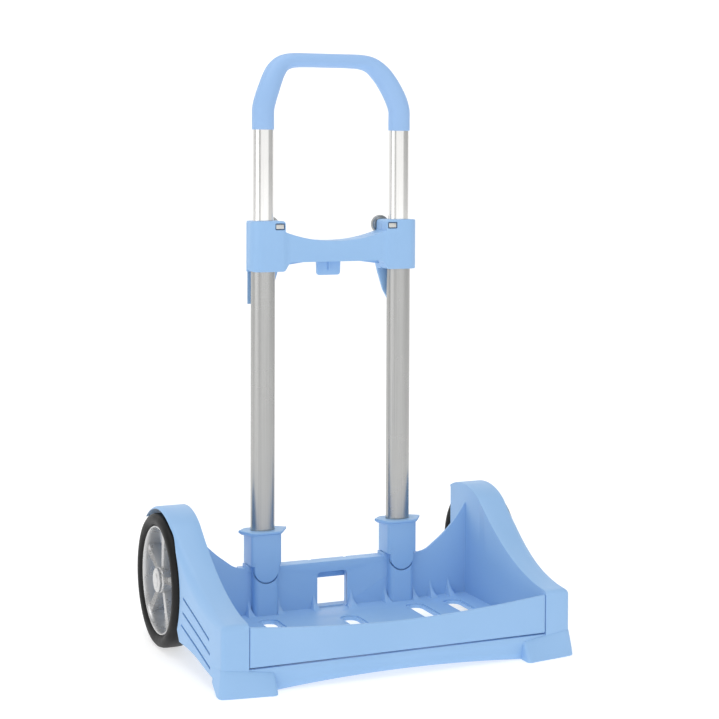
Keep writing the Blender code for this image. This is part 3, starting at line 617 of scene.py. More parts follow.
def makeFloor():
    pan = floorPan
    top, inner = shared["floorZ"], shared["innerX"] + pan["sideLap"]
    wall, half, front, step = pan["wall"], pan["slotHalf"], pan["slotFront"], pan["recess"]
    high = top + pan["above"]
    body = block((-inner, pan["frontY"], top - wall), (inner, pan["backY"], top))
    collars, holes = [], []
    for x in pan["slotX"]:
        back = pan["middleBack"] if x == 0 else pan["slotBack"]
        collars.append(slab(stadium(x, front - wall, back + wall, half + wall), "z",
                            top - pan["collar"], top - wall * 0.5))
        holes.append(slab(stadium(x, front, back, half), "z", top - pan["below"], high))
        holes.append(slab(stadium(x, front - step, back + step, half + step), "z",
                          top - pan["dishDepth"], high))
    body = carve(body, collars, "UNION")
    body = carve(body, holes)
    # round dish in the floor in front of the window
    dish = [(pan["dishHalf"] * math.cos(math.radians(a)),
             shared["wallY"] - pan["dishReach"] * math.sin(math.radians(a)))
            for a in range(0, 181, 6)]
    behind = shared["wallY"] + 0.004
    dish += [(-pan["dishHalf"], behind), (pan["dishHalf"], behind)]
    body = carve(body, [slab(dish, "z", top - pan["dishDepth"], high)])
    body.normal_update()
    slotEnd, middleEnd = pan["slotBack"] + 0.0035, pan["middleBack"] + 0.0035
    rims = topRims(body, 0.145, front - 0.004, slotEnd)
    slotRims = [e for e in rims if min(v.co.y for v in e.verts) < middleEnd
                or abs(e.verts[0].co.x) > 0.05]
    bevelEdges(body, slotRims, pan["rim"], 5)
    dishRims = topRims(body, 0.0165, pan["slotBack"] + 0.0005, 1.0)
    bevelEdges(body, dishRims, pan["dishRim"], 3)
    return finishPiece("floor_pan", body, "traySkin", "base", ("base_tray",), 32)


makeFloor()
print("floor done")


# rear wall, ledge, ribs and the seats of the sockets

rearWall = {
    "thick": 0.0025, "levelX": 0.090, "endX": 0.1532, "lowZ": 0.0208, "edge": 0.0007,
    "sweep": [(0.090, 0.0), (0.105, 0.0029), (0.1154, 0.0101), (0.126, 0.0184),
              (0.1365, 0.0288), (0.147, 0.0425), (0.1532, 0.0520)],
    "ledgeDepth": 0.0162, "ledgeEndX": 0.098,
    "window": (0.0165, 0.0218, 0.0590, 0.0040),
    "ribs": [(0.0205, 0.0155, 0.0145), (0.0590, 0.0158, 0.0150), (0.0905, 0.0168, 0.0160),
             (0.1110, 0.0184, 0.0165), (0.1318, 0.0180, 0.0185)],
    "ribThick": 0.0023, "ribRoot": 0.0090, "ribEdge": 0.0004, "ribCurve": 0.95, "ribSteps": 12,
    "frameScale": 1.11, "frameMiddleZ": 0.0426, "frameDepth": 0.006,
    "notchX": (-0.0195, 0.0195), "notch": 0.0016,
    "ledgeThick": 0.0026, "ledgeDrop": 0.00015, "hangZ": 0.0195, "hangThick": 0.0024,
    "webX": (-0.098, -0.056, -0.0365, 0.0365, 0.056, 0.098), "webHalf": 0.001, "webLowZ": 0.0215,
}


def makeRearWall():
    y0 = shared["wallY"]
    y1 = y0 + rearWall["thick"]
    level = shared["ledgeZ"]
    start, end = rearWall["levelX"], rearWall["endX"]
    right = [start + (end - start) * i / 18 for i in range(19)]
    outline = [(x, level + curveAt(rearWall["sweep"], x)) for x in right]
    outline.append((end, rearWall["lowZ"]))
    outline = outline + [(-x, z) for x, z in reversed(outline)]
    skin = slab(outline, "y", y0, y1)
    half, low, high, radius = rearWall["window"]
    hole = []
    for x, z, start in ((half - radius, high - radius, 0), (radius - half, high - radius, 90),
                        (radius - half, low + radius, 180), (half - radius, low + radius, 270)):
        hole += arcPoints((x, z), radius, start, start + 90, 6)
    skin = carve(skin, [slab(hole, "y", y0 - 0.01, y1 + 0.01)])
    bevelWhere(skin, rearWall["edge"], 3,
               lambda e: all(v.co.z > shared["floorZ"] + 0.001 and v.co.y < y0 + shared["near"]
                             and abs(v.co.x) < end - 0.0001 for v in e.verts), 50)
    # raised frame behind the window
    scale, middle, deep = rearWall["frameScale"], rearWall["frameMiddleZ"], rearWall["frameDepth"]
    opening = slab(hole, "y", y1 - 0.0015, y1 + deep + 0.0015)
    outerHole = [(x * scale, (z - middle) * scale + middle) for x, z in hole]
    addTo(skin, carve(slab(outerHole, "y", y1 - 0.0006, y1 + deep), [opening]))
    return finishPiece("rear_wall", skin, "traySkin", "base", ("tray_back",), 40)


def makeLedge():
    y0, level = shared["wallY"], shared["ledgeZ"]
    end, half = rearWall["ledgeEndX"], rearWall["webHalf"]
    back = y0 + rearWall["ledgeDepth"]
    top = block((-end, y0 + 0.0006, level - rearWall["ledgeThick"]),
                (end, back, level - rearWall["ledgeDrop"]))
    notches = [block((x - rearWall["notch"], back - 0.0022, level - 0.01),
                     (x + rearWall["notch"], back + 0.01, level + 0.01))
               for x in rearWall["notchX"]]
    top = carve(top, notches)
    bevelWhere(top, rearWall["edge"], 3, lambda e: all(v.co.y > back - 0.003 for v in e.verts), 50)
    hang = block((-end + 0.0002, back - rearWall["hangThick"], level - rearWall["hangZ"]),
                 (end - 0.0002, back - 0.0001, level - 0.0008), rearWall["ribEdge"], 2)
    addTo(top, hang)
    for x in rearWall["webX"]:
        addTo(top, block((x - half, y0 + 0.001, rearWall["webLowZ"]),
                         (x + half, back - 0.0006, level - 0.001), rearWall["ribEdge"], 2))
    return finishPiece("rear_ledge", top, "traySkin", "base", (), 40)


def makeRibs():
    # concave ribs, thin at the top and spreading towards the floor
    y0, low = shared["wallY"], shared["floorZ"]
    half, root = rearWall["ribThick"] / 2, rearWall["ribRoot"] / 2
    steps = rearWall["ribSteps"]
    bm = bmesh.new()
    for x, high, reach in rearWall["ribs"]:
        curve = []
        for i in range(steps + 1):
            turn = math.radians(90 * i / steps)
            curve.append((y0 - reach * (1 - math.sin(turn)) ** rearWall["ribCurve"],
                          low + high * (1 - math.cos(turn))))
        outline = curve + [(y0 + 0.001, low + high), (y0 + 0.001, low - 0.001),
                           (y0 - reach, low - 0.001)]
        for middle in (-x, x):
            rib = slab(outline, "x", middle - half, middle + half)
            for vert in rib.verts:
                drop = 1 - max(0.0, min(1.0, (vert.co.z - low) / high))
                spread = half + (root - half) * drop ** 4
                vert.co.x = middle + math.copysign(spread, vert.co.x - middle)
            bmesh.ops.triangulate(rib, faces=[f for f in rib.faces if len(f.verts) > 4])
            bevelWhere(rib, rearWall["ribEdge"], 2,
                       lambda e: all(v.co.z > low + 0.0001 for v in e.verts)
                       and any(v.co.y < y0 - 0.0001 for v in e.verts), 50)
            addTo(bm, rib)
    return finishPiece("wall_ribs", bm, "traySkin", "base", (), 50)


seat = {
    "half": 0.0130, "frontY": 0.0446, "backY": 0.0698, "topZ": 0.0724, "round": 0.0052,
    "shoulderHalf": 0.0172, "mouth": 0.0140, "mouthZ": 0.0690, "levels": (0.0218, 0.035, 0.05),
    "wellHalf": 0.0109, "wellY": (0.0481, 0.0663), "wellZ": (0.027, 0.09),
    "boss": [(0.1262, 0.0), (0.1262, 0.0068), (0.1540, 0.0068), (0.1560, 0.0072),
             (0.1565, 0.0068), (0.1565, 0.0043), (0.1295, 0.0043), (0.1295, 0.0)],
}


def socketWell(x):
    # room for the socket's plug
    half, (front, back), (low, high) = seat["wellHalf"], seat["wellY"], seat["wellZ"]
    return block((x - half, front, low), (x + half, back, high))


def makeSeat(label, side):
    x = shared["tubeX"]
    half, r, wide = seat["half"], seat["round"], seat["shoulderHalf"]
    front, top, mouth = seat["frontY"], seat["topZ"], seat["mouth"]
    high = seat["wellZ"][1]
    plan = arcPoints((half - r, front + r), r, 0, -90, 8)
    plan += arcPoints((r - half, front + r), r, -90, -180, 8)
    plan += [(-half, seat["backY"]), (half, seat["backY"])]
    column = loft([[(x + u, v, z) for u, v in plan] for z in (*seat["levels"], top)])
    hollow = slab([(x + u, z) for u, z in arcPoints((0, seat["mouthZ"]), mouth, 180, 360, 24)]
                  + [(x + mouth, high), (x - mouth, high)], "y", 0.03, 0.0496)
    column = carve(column, [hollow, socketWell(x)])
    shoulder = block((x - wide, shared["wallY"] - 0.0004, shared["ledgeZ"] - 0.004),
                     (x + wide, seat["backY"] + 0.0008, top))
    lower = block((x - half + 0.0004, 0.0451, 0.06), (x + half - 0.0004, 0.0497, high))
    shoulder = carve(shoulder, [lower, socketWell(x)])
    bevelWhere(shoulder, 0.0006, 2, lambda e: all(v.co.z > top - 1e-4 for v in e.verts)
               or all(abs(abs(v.co.x - x) - wide) < 1e-4 for v in e.verts), 50)
    addTo(column, shoulder)
    addTo(column, lathe(seat["boss"], "x", (0, shared["axleY"], shared["axleZ"]), 40))
    return finishPiece("socket_seat_" + label, flipSide(column, side), "traySkin", "base", (),
                       35)


makeRearWall()
makeLedge()
makeRibs()
for label, side in sides:
    makeSeat(label, side)
print("rear wall done")


# front flap

flap = {
    "half": 0.1506, "topZ": 0.0614, "lowZ": 0.0243, "thick": 0.0030, "edge": 0.0009, "dip": 0.0089,
    "dipPower": 1.8, "hinge": (-0.1172, 0.0272), "barrel": 0.0029, "barrelTop": 0.0335,
    "ends": [(0.0, 0.0005), (0.0002, 0.0002), (0.0006, 0.0)], "columns": 20,
}


def flapRing(x, shrink):
    y0, z0, r = shared["frontY"], flap["lowZ"], flap["edge"]
    top = flap["topZ"] - flap["dip"] * (1 - abs(x / flap["half"]) ** flap["dipPower"])
    profile = arcPoints((y0 + r, z0 + r + 0.0003), r, 270, 180, 4)
    profile += arcPoints((y0 + r, top - r), r, 180, 90, 5)
    profile += arcPoints((y0 + flap["thick"] - r, top - r), r, 90, 0, 5)
    profile += [(y0 + flap["thick"], flap["barrelTop"])]
    profile += arcPoints(flap["hinge"], flap["barrel"], 50, -90, 10)
    middle = (y0 + flap["thick"] / 2, (z0 + top) / 2)
    return [(x, y + math.copysign(min(shrink, abs(y - middle[0])), middle[0] - y),
             z + math.copysign(min(shrink, abs(z - middle[1])), middle[1] - z)) for y, z in profile]


def makeFlap():
    columns = flap["columns"]
    ends = [(flap["half"] - back, shrink) for back, shrink in flap["ends"]]
    last = ends[-1][0]
    places = [(-x, shrink) for x, shrink in ends]
    places += [(last * i / columns, 0.0) for i in range(1 - columns, columns)]
    places += ends[::-1]
    panel = loft([flapRing(x, shrink) for x, shrink in places])
    return finishPiece("flap_panel", panel, "traySkin", "flap", ("front_flap",), 35)


makeFlap()


# tube sockets

socket = {
    "half": 0.0161, "lowZ": 0.0728, "highZ": 0.1046, "frontY": 0.0447, "backY": 0.0712,
    "bulge": 0.0009, "tongue": 0.0128, "tongueZ": 0.0690, "tongueBack": 0.0489,
    "flangeX": 0.0256, "flangeHalf": 0.0162, "flangeFront": 0.0150, "flangeBack": 0.0142,
    "flangeLow": 0.1040, "flangeLift": 0.0011, "liftFrom": 0.68,
    "frontRound": 0.0030, "backRound": 0.002, "plugHalf": 0.0105, "plugY": (0.0485, 0.0659),
    "plugLow": 0.0285, "boreHalf": (0.0128, 0.0088), "boreLow": 0.0742,
    "flangeEdges": [(-0.0008, 0.0030), (0.0006, 0.0006), (0.0012, 0.0), (0.0029, 0.0),
                    (0.0033, 0.0005)],
}


def socketPlan(inset):
    half, r, q = socket["half"] - inset, socket["frontRound"], socket["backRound"]
    front, back = socket["frontY"] + inset, socket["backY"] - inset
    plan = arcPoints((half - r, front + r + 0.0004), r, 0, -70, 5)
    for i in range(1, 12):
        u = 1 - i / 6
        plan.append((u * (half - r * 0.7), front + socket["bulge"] * (u * u)))
    plan += arcPoints((r - half, front + r + 0.0004), r, -110, -180, 5)
    plan += arcPoints((q - half, back - q), q, 180, 90, 4)
    plan += arcPoints((half - q, back - q), q, 90, 0, 4)
    return plan


def flangeRing(z, inset, x):
    # a pointed hexagon with cut corners, whose two tips rise a little
    tip, half = socket["flangeX"] - inset, socket["flangeHalf"] - inset * 0.4
    front, back = socket["flangeFront"] - inset, socket["flangeBack"] - inset
    side, corner = half + 0.0006, half - 0.0028
    corners = [(tip, 0.0), (side, -front * 0.86), (corner, -front), (0.0, -front - 0.0002),
               (-corner, -front), (-side, -front * 0.86), (-tip, 0.0), (-side, back * 0.86),
               (-corner, back), (0.0, back), (corner, back), (side, back * 0.86)]
    ring = []
    for (u, v), (nextU, nextV) in zip(corners, corners[1:] + corners[:1]):
        for j in range(3):
            ring.append((u + (nextU - u) * j / 3, v + (nextV - v) * j / 3))
    lift, start = socket["flangeLift"], socket["liftFrom"]
    return [(x + u, shared["tubeY"] + v, z + lift * max(abs(u) / socket["flangeX"] - start, 0) * 3)
            for u, v in ring]


def makeSocket(label, side):
    x, low = shared["tubeX"], socket["lowZ"]
    rings = [[(x + u, v, z) for u, v in socketPlan(inset)]
             for z, inset in ((low, 0.0005), (low + 0.0005, 0.0), (0.085, 0.0), (0.095, 0.0),
                              (socket["highZ"], 0.0))]
    body = loft(rings)
    flange = loft([flangeRing(socket["flangeLow"] + rise, inset, x)
                   for rise, inset in socket["flangeEdges"]])
    half = socket["tongue"]
    tongueOutline = arcPoints((0, socket["tongueZ"]), half, 180, 360, 28)
    tongueOutline += [(half, low + 0.004), (-half, low + 0.004)]
    front = socket["frontY"] + 0.0001
    tongue = slab([(x + u, z) for u, z in tongueOutline], "y", front, socket["tongueBack"])
    bevelWhere(tongue, 0.0008, 3, lambda e: all(v.co.y < front + shared["near"] for v in e.verts)
               and any(v.co.z < low for v in e.verts), 50)
    half, (plugFront, plugBack) = socket["plugHalf"], socket["plugY"]
    plug = block((x - half, plugFront, socket["plugLow"]), (x + half, plugBack, low + 0.002),
                 0.0006, 2)
    body = carve(body, [flange, tongue, plug], "UNION")
    bore = slab(ovalPoints(x, shared["tubeY"], socket["boreHalf"], 72, tubePower), "z",
                socket["boreLow"], 0.12)
    body = carve(body, [bore])
    return finishPiece("socket_body_" + label, flipSide(body, side), "traySkin", "base",
                       ("tube_socket_" + label,), 32)


for label, side in sides:
    makeSocket(label, side)
print("flap and sockets done")


# tubes

tubes = {
    "outerHalf": (0.0125, 0.0085), "outerWall": 0.0012, "outerZ": (0.0745, 0.400),
    "innerHalf": (0.0108, 0.0068), "innerWall": 0.0010, "innerZ": (0.182, 0.5285),
    "lip": 0.0003,
}


def makeTube(name, x, half, wall, span, finish, body, replaced):
    low, high = span
    lip = tubes["lip"]
    rings = []
    for z, inset in ((low, wall), (low, lip), (low + lip, 0.0), (high - lip, 0.0), (high, lip),
                     (high, wall), (low, wall)):
        size = (half[0] - inset, half[1] - inset)
        rings.append([(u, v, z) for u, v in ovalPoints(x, shared["tubeY"], size, 96, tubePower)])
    bm = loft(rings, closed=False)
    return finishPiece(name, bm, finish, body, (replaced,), 40)


for label, side in sides:
    x = side * shared["tubeX"]
    makeTube("lower_tube_" + label, x, tubes["outerHalf"], tubes["outerWall"], tubes["outerZ"],
             "satinTube", "base", "outer_tube_" + label)
    makeTube("upper_tube_" + label, x, tubes["innerHalf"], tubes["innerWall"], tubes["innerZ"],
             "polishedTube", "handle", "inner_tube_" + label)
print("tubes done")


# crossbar

crossbar = {
    "frontY": 0.0435, "splitY": 0.0585, "backY": 0.0715, "end": 0.0910, "round": 0.0115,
    "topZ": 0.4187, "lowZ": 0.3680, "sleeve": 0.0553, "dipZ": 0.3978, "dipEndZ": 0.4075,
    "underZ": 0.3770, "recess": 0.0014, "edge": 0.0012, "rearEdge": 0.0010,
    "skirtTipZ": 0.3347, "skirtInnerX": 0.0690, "skirtTipRound": 0.0022, "skirtWall": 0.0034,
    "dipPower": 2.1, "sleeveRound": 0.0034, "cornerRound": 0.0040, "underRound": 0.0045,
    "skirtSide": [(0.0618, 0.3450), (0.0560, 0.3640), (0.0537, 0.3730)],
    "outerRoom": (0.0127, 0.0087), "innerRoom": (0.0111, 0.0071), "seatZ": 0.4066, "gap": 0.0002,
    "hollow": [(-0.0515, 0.3795), (0.0515, 0.3795), (0.0515, 0.4032), (0.026, 0.3975),
               (0.0, 0.3955), (-0.026, 0.3975), (-0.0515, 0.4032)],
    "screws": [(-0.043, 0.395), (-0.016, 0.387), (0.016, 0.387), (0.043, 0.395)],
    "screwRoom": 0.0034, "screwDepth": 0.0026,
    "tabTop": (0.0132, 0.3790), "tabCorner": (0.0098, 0.3649), "tabRound": 0.0030,
    "tabY": (0.0667, 0.0700),
}
keyBolt = {"x": 0.0615, "z": 0.4130, "half": 0.0043, "high": 0.00245, "face": 0.0440,
           "headBack": 0.0037, "pocketHalf": (0.0052, 0.0034), "pocketDepth": 0.0042,
           "shankX": 0.0610, "shank": [(0.0470, 0), (0.0470, 0.00175), (0.0788, 0.00175),
                                       (0.0795, 0.0012), (0.0795, 0)]}


def barOutline(rear):
    c = crossbar
    end, r, q = c["end"], c["cornerRound"], c["sleeveRound"]
    right = [(c["sleeve"] * i / 12, c["dipZ"] + (c["dipEndZ"] - c["dipZ"]) * (i / 12) ** c["dipPower"])
             for i in range(13)]
    right += arcPoints((c["sleeve"] + 0.0036, c["topZ"] - q), q, 180, 90, 5)
    right += arcPoints((end - r, c["topZ"] - r), r, 90, 0, 6)
    if rear:
        tip = c["skirtTipRound"]
        right += [(end, c["skirtTipZ"] + 0.004)]
        right += arcPoints((end - 0.0030, c["skirtTipZ"] + tip), tip, 0, -90, 4)
        right += arcPoints((c["skirtInnerX"], c["skirtTipZ"] + tip), tip, -90, -160, 4)
        right += c["skirtSide"]
    else:
        under = c["underRound"]
        right += arcPoints((end - r, c["lowZ"] + r), r, 0, -90, 6)
        right += arcPoints((0.0585, c["lowZ"] + under), under, -90, -150, 5)
        right += arcPoints((0.0478, c["underZ"] - under), under, 30, 90, 5)
    right += [(0.024, c["underZ"]), (0.0, c["underZ"])]
    return right + [(-x, z) for x, z in reversed(right[1:-1])]


def barPlan():
    c = crossbar
    r, end = c["round"], c["end"]
    front = arcPoints((end - r, c["frontY"] + r), r, 0, -90, 10)
    front += [(0.0640, c["frontY"]), (0.0575, c["frontY"] + 0.0001)]
    front += [(0.0555, c["frontY"] + c["recess"] * 0.45), (0.0535, c["frontY"] + c["recess"] * 0.85),
              (0.0505, c["frontY"] + c["recess"]), (0.0, c["frontY"] + c["recess"])]
    front += [(-x, y) for x, y in reversed(front[:-1])]
    back = arcPoints((r - end, c["backY"] - r), r, 180, 90, 10)
    back += arcPoints((end - r, c["backY"] - r), r, 90, 0, 10)
    return front + back


def cutForTubes(bm):
    tools = []
    for _, side in sides:
        x = side * shared["tubeX"]
        for room, low, high in ((crossbar["outerRoom"], 0.3, crossbar["seatZ"]),
                                (crossbar["innerRoom"], 0.40, 0.45)):
            tools.append(slab(ovalPoints(x, shared["tubeY"], room, 72, tubePower), "z", low, high))
    return carve(bm, tools)


def roundFace(bm, radius, picks):
    # round the rim of the bar's front or rear face, where picks(edge) holds
    bevelWhere(bm, radius, 3, lambda e: picks(e)
               and abs(e.link_faces[0].normal.y - e.link_faces[1].normal.y) > 0.35, 40)


def makeBarFront():
    c = crossbar
    body = slab(barOutline(False), "y", c["frontY"] - 0.002, c["splitY"] - c["gap"])
    body = carve(body, [slab(barPlan(), "z", 0.30, 0.46)], "INTERSECT")
    roundFace(body, c["edge"], lambda e: all(v.co.y < c["frontY"] + c["round"] for v in e.verts))
    body = cutForTubes(body)
    wide, high = keyBolt["pocketHalf"]
    tools = []
    for _, side in sides:
        x = side * keyBolt["x"]
        tools.append(block((x - wide, c["frontY"] - 0.01, keyBolt["z"] - high),
                           (x + wide, c["frontY"] + keyBolt["pocketDepth"], keyBolt["z"] + high),
                           0.0009, 2))
    tools.append(slab(c["hollow"], "y", c["frontY"] + 0.004, c["splitY"] + 0.01))
    body = carve(body, tools)
    return finishPiece("bar_front", body, "traySkin", "base", ("crossbar_front",), 32)


def makeBarRear():
    c = crossbar
    back = c["backY"]
    body = slab(barOutline(True), "y", c["splitY"] + c["gap"], back + 0.002)
    body = carve(body, [slab(barPlan(), "z", 0.30, 0.46)], "INTERSECT")
    body = carve(body, [block((-0.2, c["splitY"] - 0.01, 0.30), (0.2, back - c["skirtWall"], c["lowZ"]))])
    roundFace(body, c["rearEdge"], lambda e: all(v.co.y > back - c["round"] for v in e.verts))
    body = cutForTubes(body)
    room, floor = c["screwRoom"], back - c["screwDepth"]
    tools = [lathe([(floor, 0), (floor, room), (back + 0.01, room), (back + 0.01, 0)], "y",
                   (x, 0, z), 28) for x, z in c["screws"]]
    tools.append(slab(c["hollow"], "y", c["splitY"] - 0.01, back - 0.0036))
    body = carve(body, tools)
    # small tab under the middle, with a thin web in front of it
    tabSide = arcPoints(c["tabCorner"], c["tabRound"], 0, -90, 6)
    topX, topZ = c["tabTop"]
    tab = slab([(topX, topZ)] + tabSide + [(-x, z) for x, z in reversed(tabSide)]
               + [(-topX, topZ)], "y", *c["tabY"])
    bevelWhere(tab, 0.0004, 2, lambda e: any(v.co.z < topZ - 0.0005 for v in e.verts), 50)
    addTo(body, tab)
    addTo(body, block((-0.0009, 0.0650, 0.3668), (0.0009, 0.0672, 0.3785), 0.0003, 2))
    return finishPiece("bar_rear", body, "traySkin", "base", ("crossbar_rear",), 32)


makeBarFront()
makeBarRear()


def makeKeyBolt(label, side):
    k = keyBolt
    x, z = side * k["x"], k["z"]
    head = block((x - k["half"], k["face"] - 0.0002, z - k["high"]),
                 (x + k["half"], k["face"] + k["headBack"], z + k["high"]), 0.0006, 3)
    shank = lathe(k["shank"], "y", (side * k["shankX"], 0, z), 32)
    addTo(head, shank)
    return finishPiece("rail_bolt_" + label, head, "zincSteel", "base", ("key_bolt_" + label,),
                       40)


thumbNut = {
    "radius": 0.0095, "low": 0.0727, "high": 0.0785, "ridges": 54, "depth": 0.00032,
    "bore": 0.0019, "rim": 0.0066, "dish": 0.0036, "dishDepth": 0.0008, "step": 0.0003,
    "chamfer": 0.0006,
}


def makeThumbNut(label, side):
    n = thumbNut
    low, high, radius, step = n["low"], n["high"], n["radius"], n["step"]
    dish = high - n["dishDepth"]
    profile = [(low, n["bore"]), (low, 0.0070), (low + step, 0.0074),
               (low + step, radius - n["chamfer"]), (low + 0.0009, radius), (high - 0.0009, radius),
               (high - step, radius - n["chamfer"]), (high - step, n["rim"]), (dish, 0.0062),
               (dish, n["dish"]), (high, 0.0032), (high, n["bore"])]
    centre = Vector((side * keyBolt["shankX"], 0, keyBolt["z"]))
    bm = lathe(profile, "y", centre, n["ridges"] * 2)
    for vert in bm.verts:
        arm = Vector((vert.co.x - centre.x, 0, vert.co.z - centre.z))
        if arm.length > radius - 0.0001:
            step = round(math.atan2(arm.x, arm.z) / math.tau * n["ridges"] * 2)
            if step % 2:
                vert.co -= arm.normalized() * n["depth"]
    return finishPiece("knurled_nut_" + label, bm, "nutSteel", bodyOf[label]["nut"],
                       ("thumb_nut_" + label,), 25)


for label, side in sides:
    makeKeyBolt(label, side)
    makeThumbNut(label, side)
print("crossbar done")


# grip

# place along the hoop from the end of a leg, x, z, how far back, half width in the hoop, half depth
gripPath = {
    "stations": [
        (0.0, 0.0747, 0.5100, 0.0, 0.0112, 0.0093), (1.0, 0.0747, 0.5200, 0.0, 0.0112, 0.0093),
        (2.0, 0.0747, 0.5285, 0.0, 0.0112, 0.0093), (3.0, 0.0740, 0.5335, 0.0002, 0.0112, 0.0093),
        (4.0, 0.0716, 0.5415, 0.0010, 0.0112, 0.0093), (5.0, 0.0674, 0.5515, 0.0032, 0.0110, 0.0094),
        (6.0, 0.0628, 0.5610, 0.0064, 0.0107, 0.0096), (7.0, 0.0572, 0.5697, 0.0102, 0.0101, 0.0099),
        (8.0, 0.0490, 0.5772, 0.0134, 0.0087, 0.0102), (9.0, 0.0375, 0.5806, 0.0147, 0.0076, 0.0105),
        (10.0, 0.0200, 0.5812, 0.0150, 0.0072, 0.0105), (11.0, 0.0, 0.5812, 0.0150, 0.0072, 0.0105)],
    "perStation": 5, "around": 40, "power": 2.2, "lip": 0.0005,
    "screwZ": 0.520, "screwY": (0.0087, 0.013), "screwRadius": 0.0032,
}


def makeGrip():
    half = []
    count = (len(gripPath["stations"]) - 1) * gripPath["perStation"]
    for i in range(count + 1):
        place = (len(gripPath["stations"]) - 1) * i / count
        half.append(curveAt(gripPath["stations"], place))
    path = [(-x, z, back, a, b) for x, z, back, a, b in half]
    path += [(x, z, back, a, b) for x, z, back, a, b in reversed(half[:-1])]
    centres = [Vector((x, shared["tubeY"] + back, z)) for x, z, back, a, b in path]
    rings = []
    last = len(path) - 1
    for i, (_, _, _, a, b) in enumerate(path):
        run = centres[min(i + 1, last)] - centres[max(i - 1, 0)]
        run.y = 0
        run.normalize()
        out = Vector((0, 1, 0)).cross(run)
        ends = [(0.0, 0.0)]
        if i in (0, last):
            ends = [(0.0, gripPath["lip"]), (gripPath["lip"], 0.0)]
        if i == last:
            ends = [(-gripPath["lip"], 0.0), (0.0, gripPath["lip"])]
        for along, inset in ends:
            ring = ovalPoints(0, 0, (a - inset, b - inset), gripPath["around"], gripPath["power"])
            rings.append([centres[i] + run * along + out * u + Vector((0, 1, 0)) * v for u, v in ring])
    body = loft(rings)
    # flat seats for the screws at the rear of the legs
    (deep, out), radius = gripPath["screwY"], gripPath["screwRadius"]
    tools = [lathe([(deep, 0), (deep, radius), (out, radius), (out, 0)], "y",
                   (side * shared["tubeX"], shared["tubeY"], gripPath["screwZ"]), 28)
             for _, side in sides]
    body = carve(body, tools)
    return finishPiece("hoop_grip", body, "gripSkin", "handle", ("handle_grip",), 40)


makeGrip()
print("grip done")


# wheels

wheel = {
    "tyre": [(0.1640, 0.0545), (0.1612, 0.0562), (0.1600, 0.0588), (0.1604, 0.0616), (0.1622, 0.0640),
             (0.1655, 0.0652), (0.1700, 0.0655), (0.1775, 0.0655), (0.1815, 0.0653), (0.1844, 0.0643),
             (0.1862, 0.0622), (0.1867, 0.0595), (0.1861, 0.0568), (0.1850, 0.0550), (0.1838, 0.0541),
             (0.1820, 0.0537), (0.1800, 0.0533), (0.1660, 0.0533)],
    "rim": [(0.1618, 0.0503), (0.1614, 0.0515), (0.1618, 0.0530), (0.1645, 0.0536), (0.1660, 0.0529),
            (0.1795, 0.0529), (0.1815, 0.0534), (0.1829, 0.0533), (0.1835, 0.0526), (0.1833, 0.0517),
            (0.1822, 0.0511), (0.1800, 0.0507), (0.1770, 0.0505), (0.1700, 0.0503)],
    "hub": [(0.1600, 0.0060), (0.1600, 0.0110), (0.1606, 0.0116), (0.1800, 0.0128), (0.1815, 0.0126),
            (0.1823, 0.0119), (0.1823, 0.0060)],
    "cap": [(0.1823, 0.0100), (0.1823, 0.0113), (0.1829, 0.0118), (0.1843, 0.0118), (0.1849, 0.0112),
            (0.1852, 0.0096), (0.1852, 0.0074), (0.1860, 0.0068), (0.1863, 0.0), (0.1855, 0.0),
            (0.1855, 0.0060), (0.1846, 0.0070), (0.1844, 0.0100)],
    "spokes": 5, "spokeOut": 0.1800, "spokeIn": 0.1665, "spokeHub": 0.0115, "spokeRim": 0.0508,
    "spokeWideHub": 0.0062, "spokeWideRim": 0.0092, "spokeWall": 0.0013, "spokeDish": 0.00075,
    "spokeSink": 0.0045, "spokeEdge": 0.0005, "spokeTurn": 0.12,
}


def makeSpoke(turn):
    # a channel: two raised edges with a sunken web between them
    w = wheel
    bm = bmesh.new()
    out = w["spokeOut"]
    near, far = w["spokeHub"], w["spokeRim"]
    corners = [(near, -w["spokeWideHub"] / 2), (far, -w["spokeWideRim"] / 2),
               (far, w["spokeWideRim"] / 2), (near, w["spokeWideHub"] / 2)]
    verts = [bm.verts.new((out, u, r)) for r, u in corners]
    face = bm.faces.new(verts)
    sunk = bmesh.ops.extrude_face_region(bm, geom=[face])["geom"]
    bmesh.ops.translate(bm, vec=(w["spokeIn"] - out, 0, 0),
                        verts=[v for v in sunk if isinstance(v, bmesh.types.BMVert)])
    bmesh.ops.recalc_face_normals(bm, faces=bm.faces)
    for direction in (1, -1):
        ends = [f for f in bm.faces if f.normal.x * direction > 0.99]
        bmesh.ops.inset_region(bm, faces=ends, thickness=w["spokeWall"], use_even_offset=True)
        bmesh.ops.translate(bm, vec=(-w["spokeSink"] * direction, 0, 0),
                            verts=list({v for f in ends for v in f.verts}))
    bevelWhere(bm, w["spokeEdge"], 2, lambda e: True, 50)
    for vert in bm.verts:
        share = (vert.co.z - near) / (far - near)
        vert.co.x -= w["spokeDish"] * (1 - share)
    bmesh.ops.rotate(bm, cent=(0, 0, 0), matrix=Matrix.Rotation(turn, 3, "X"), verts=bm.verts)
    bmesh.ops.translate(bm, vec=(0, shared["axleY"], shared["axleZ"]), verts=bm.verts)
    return bm


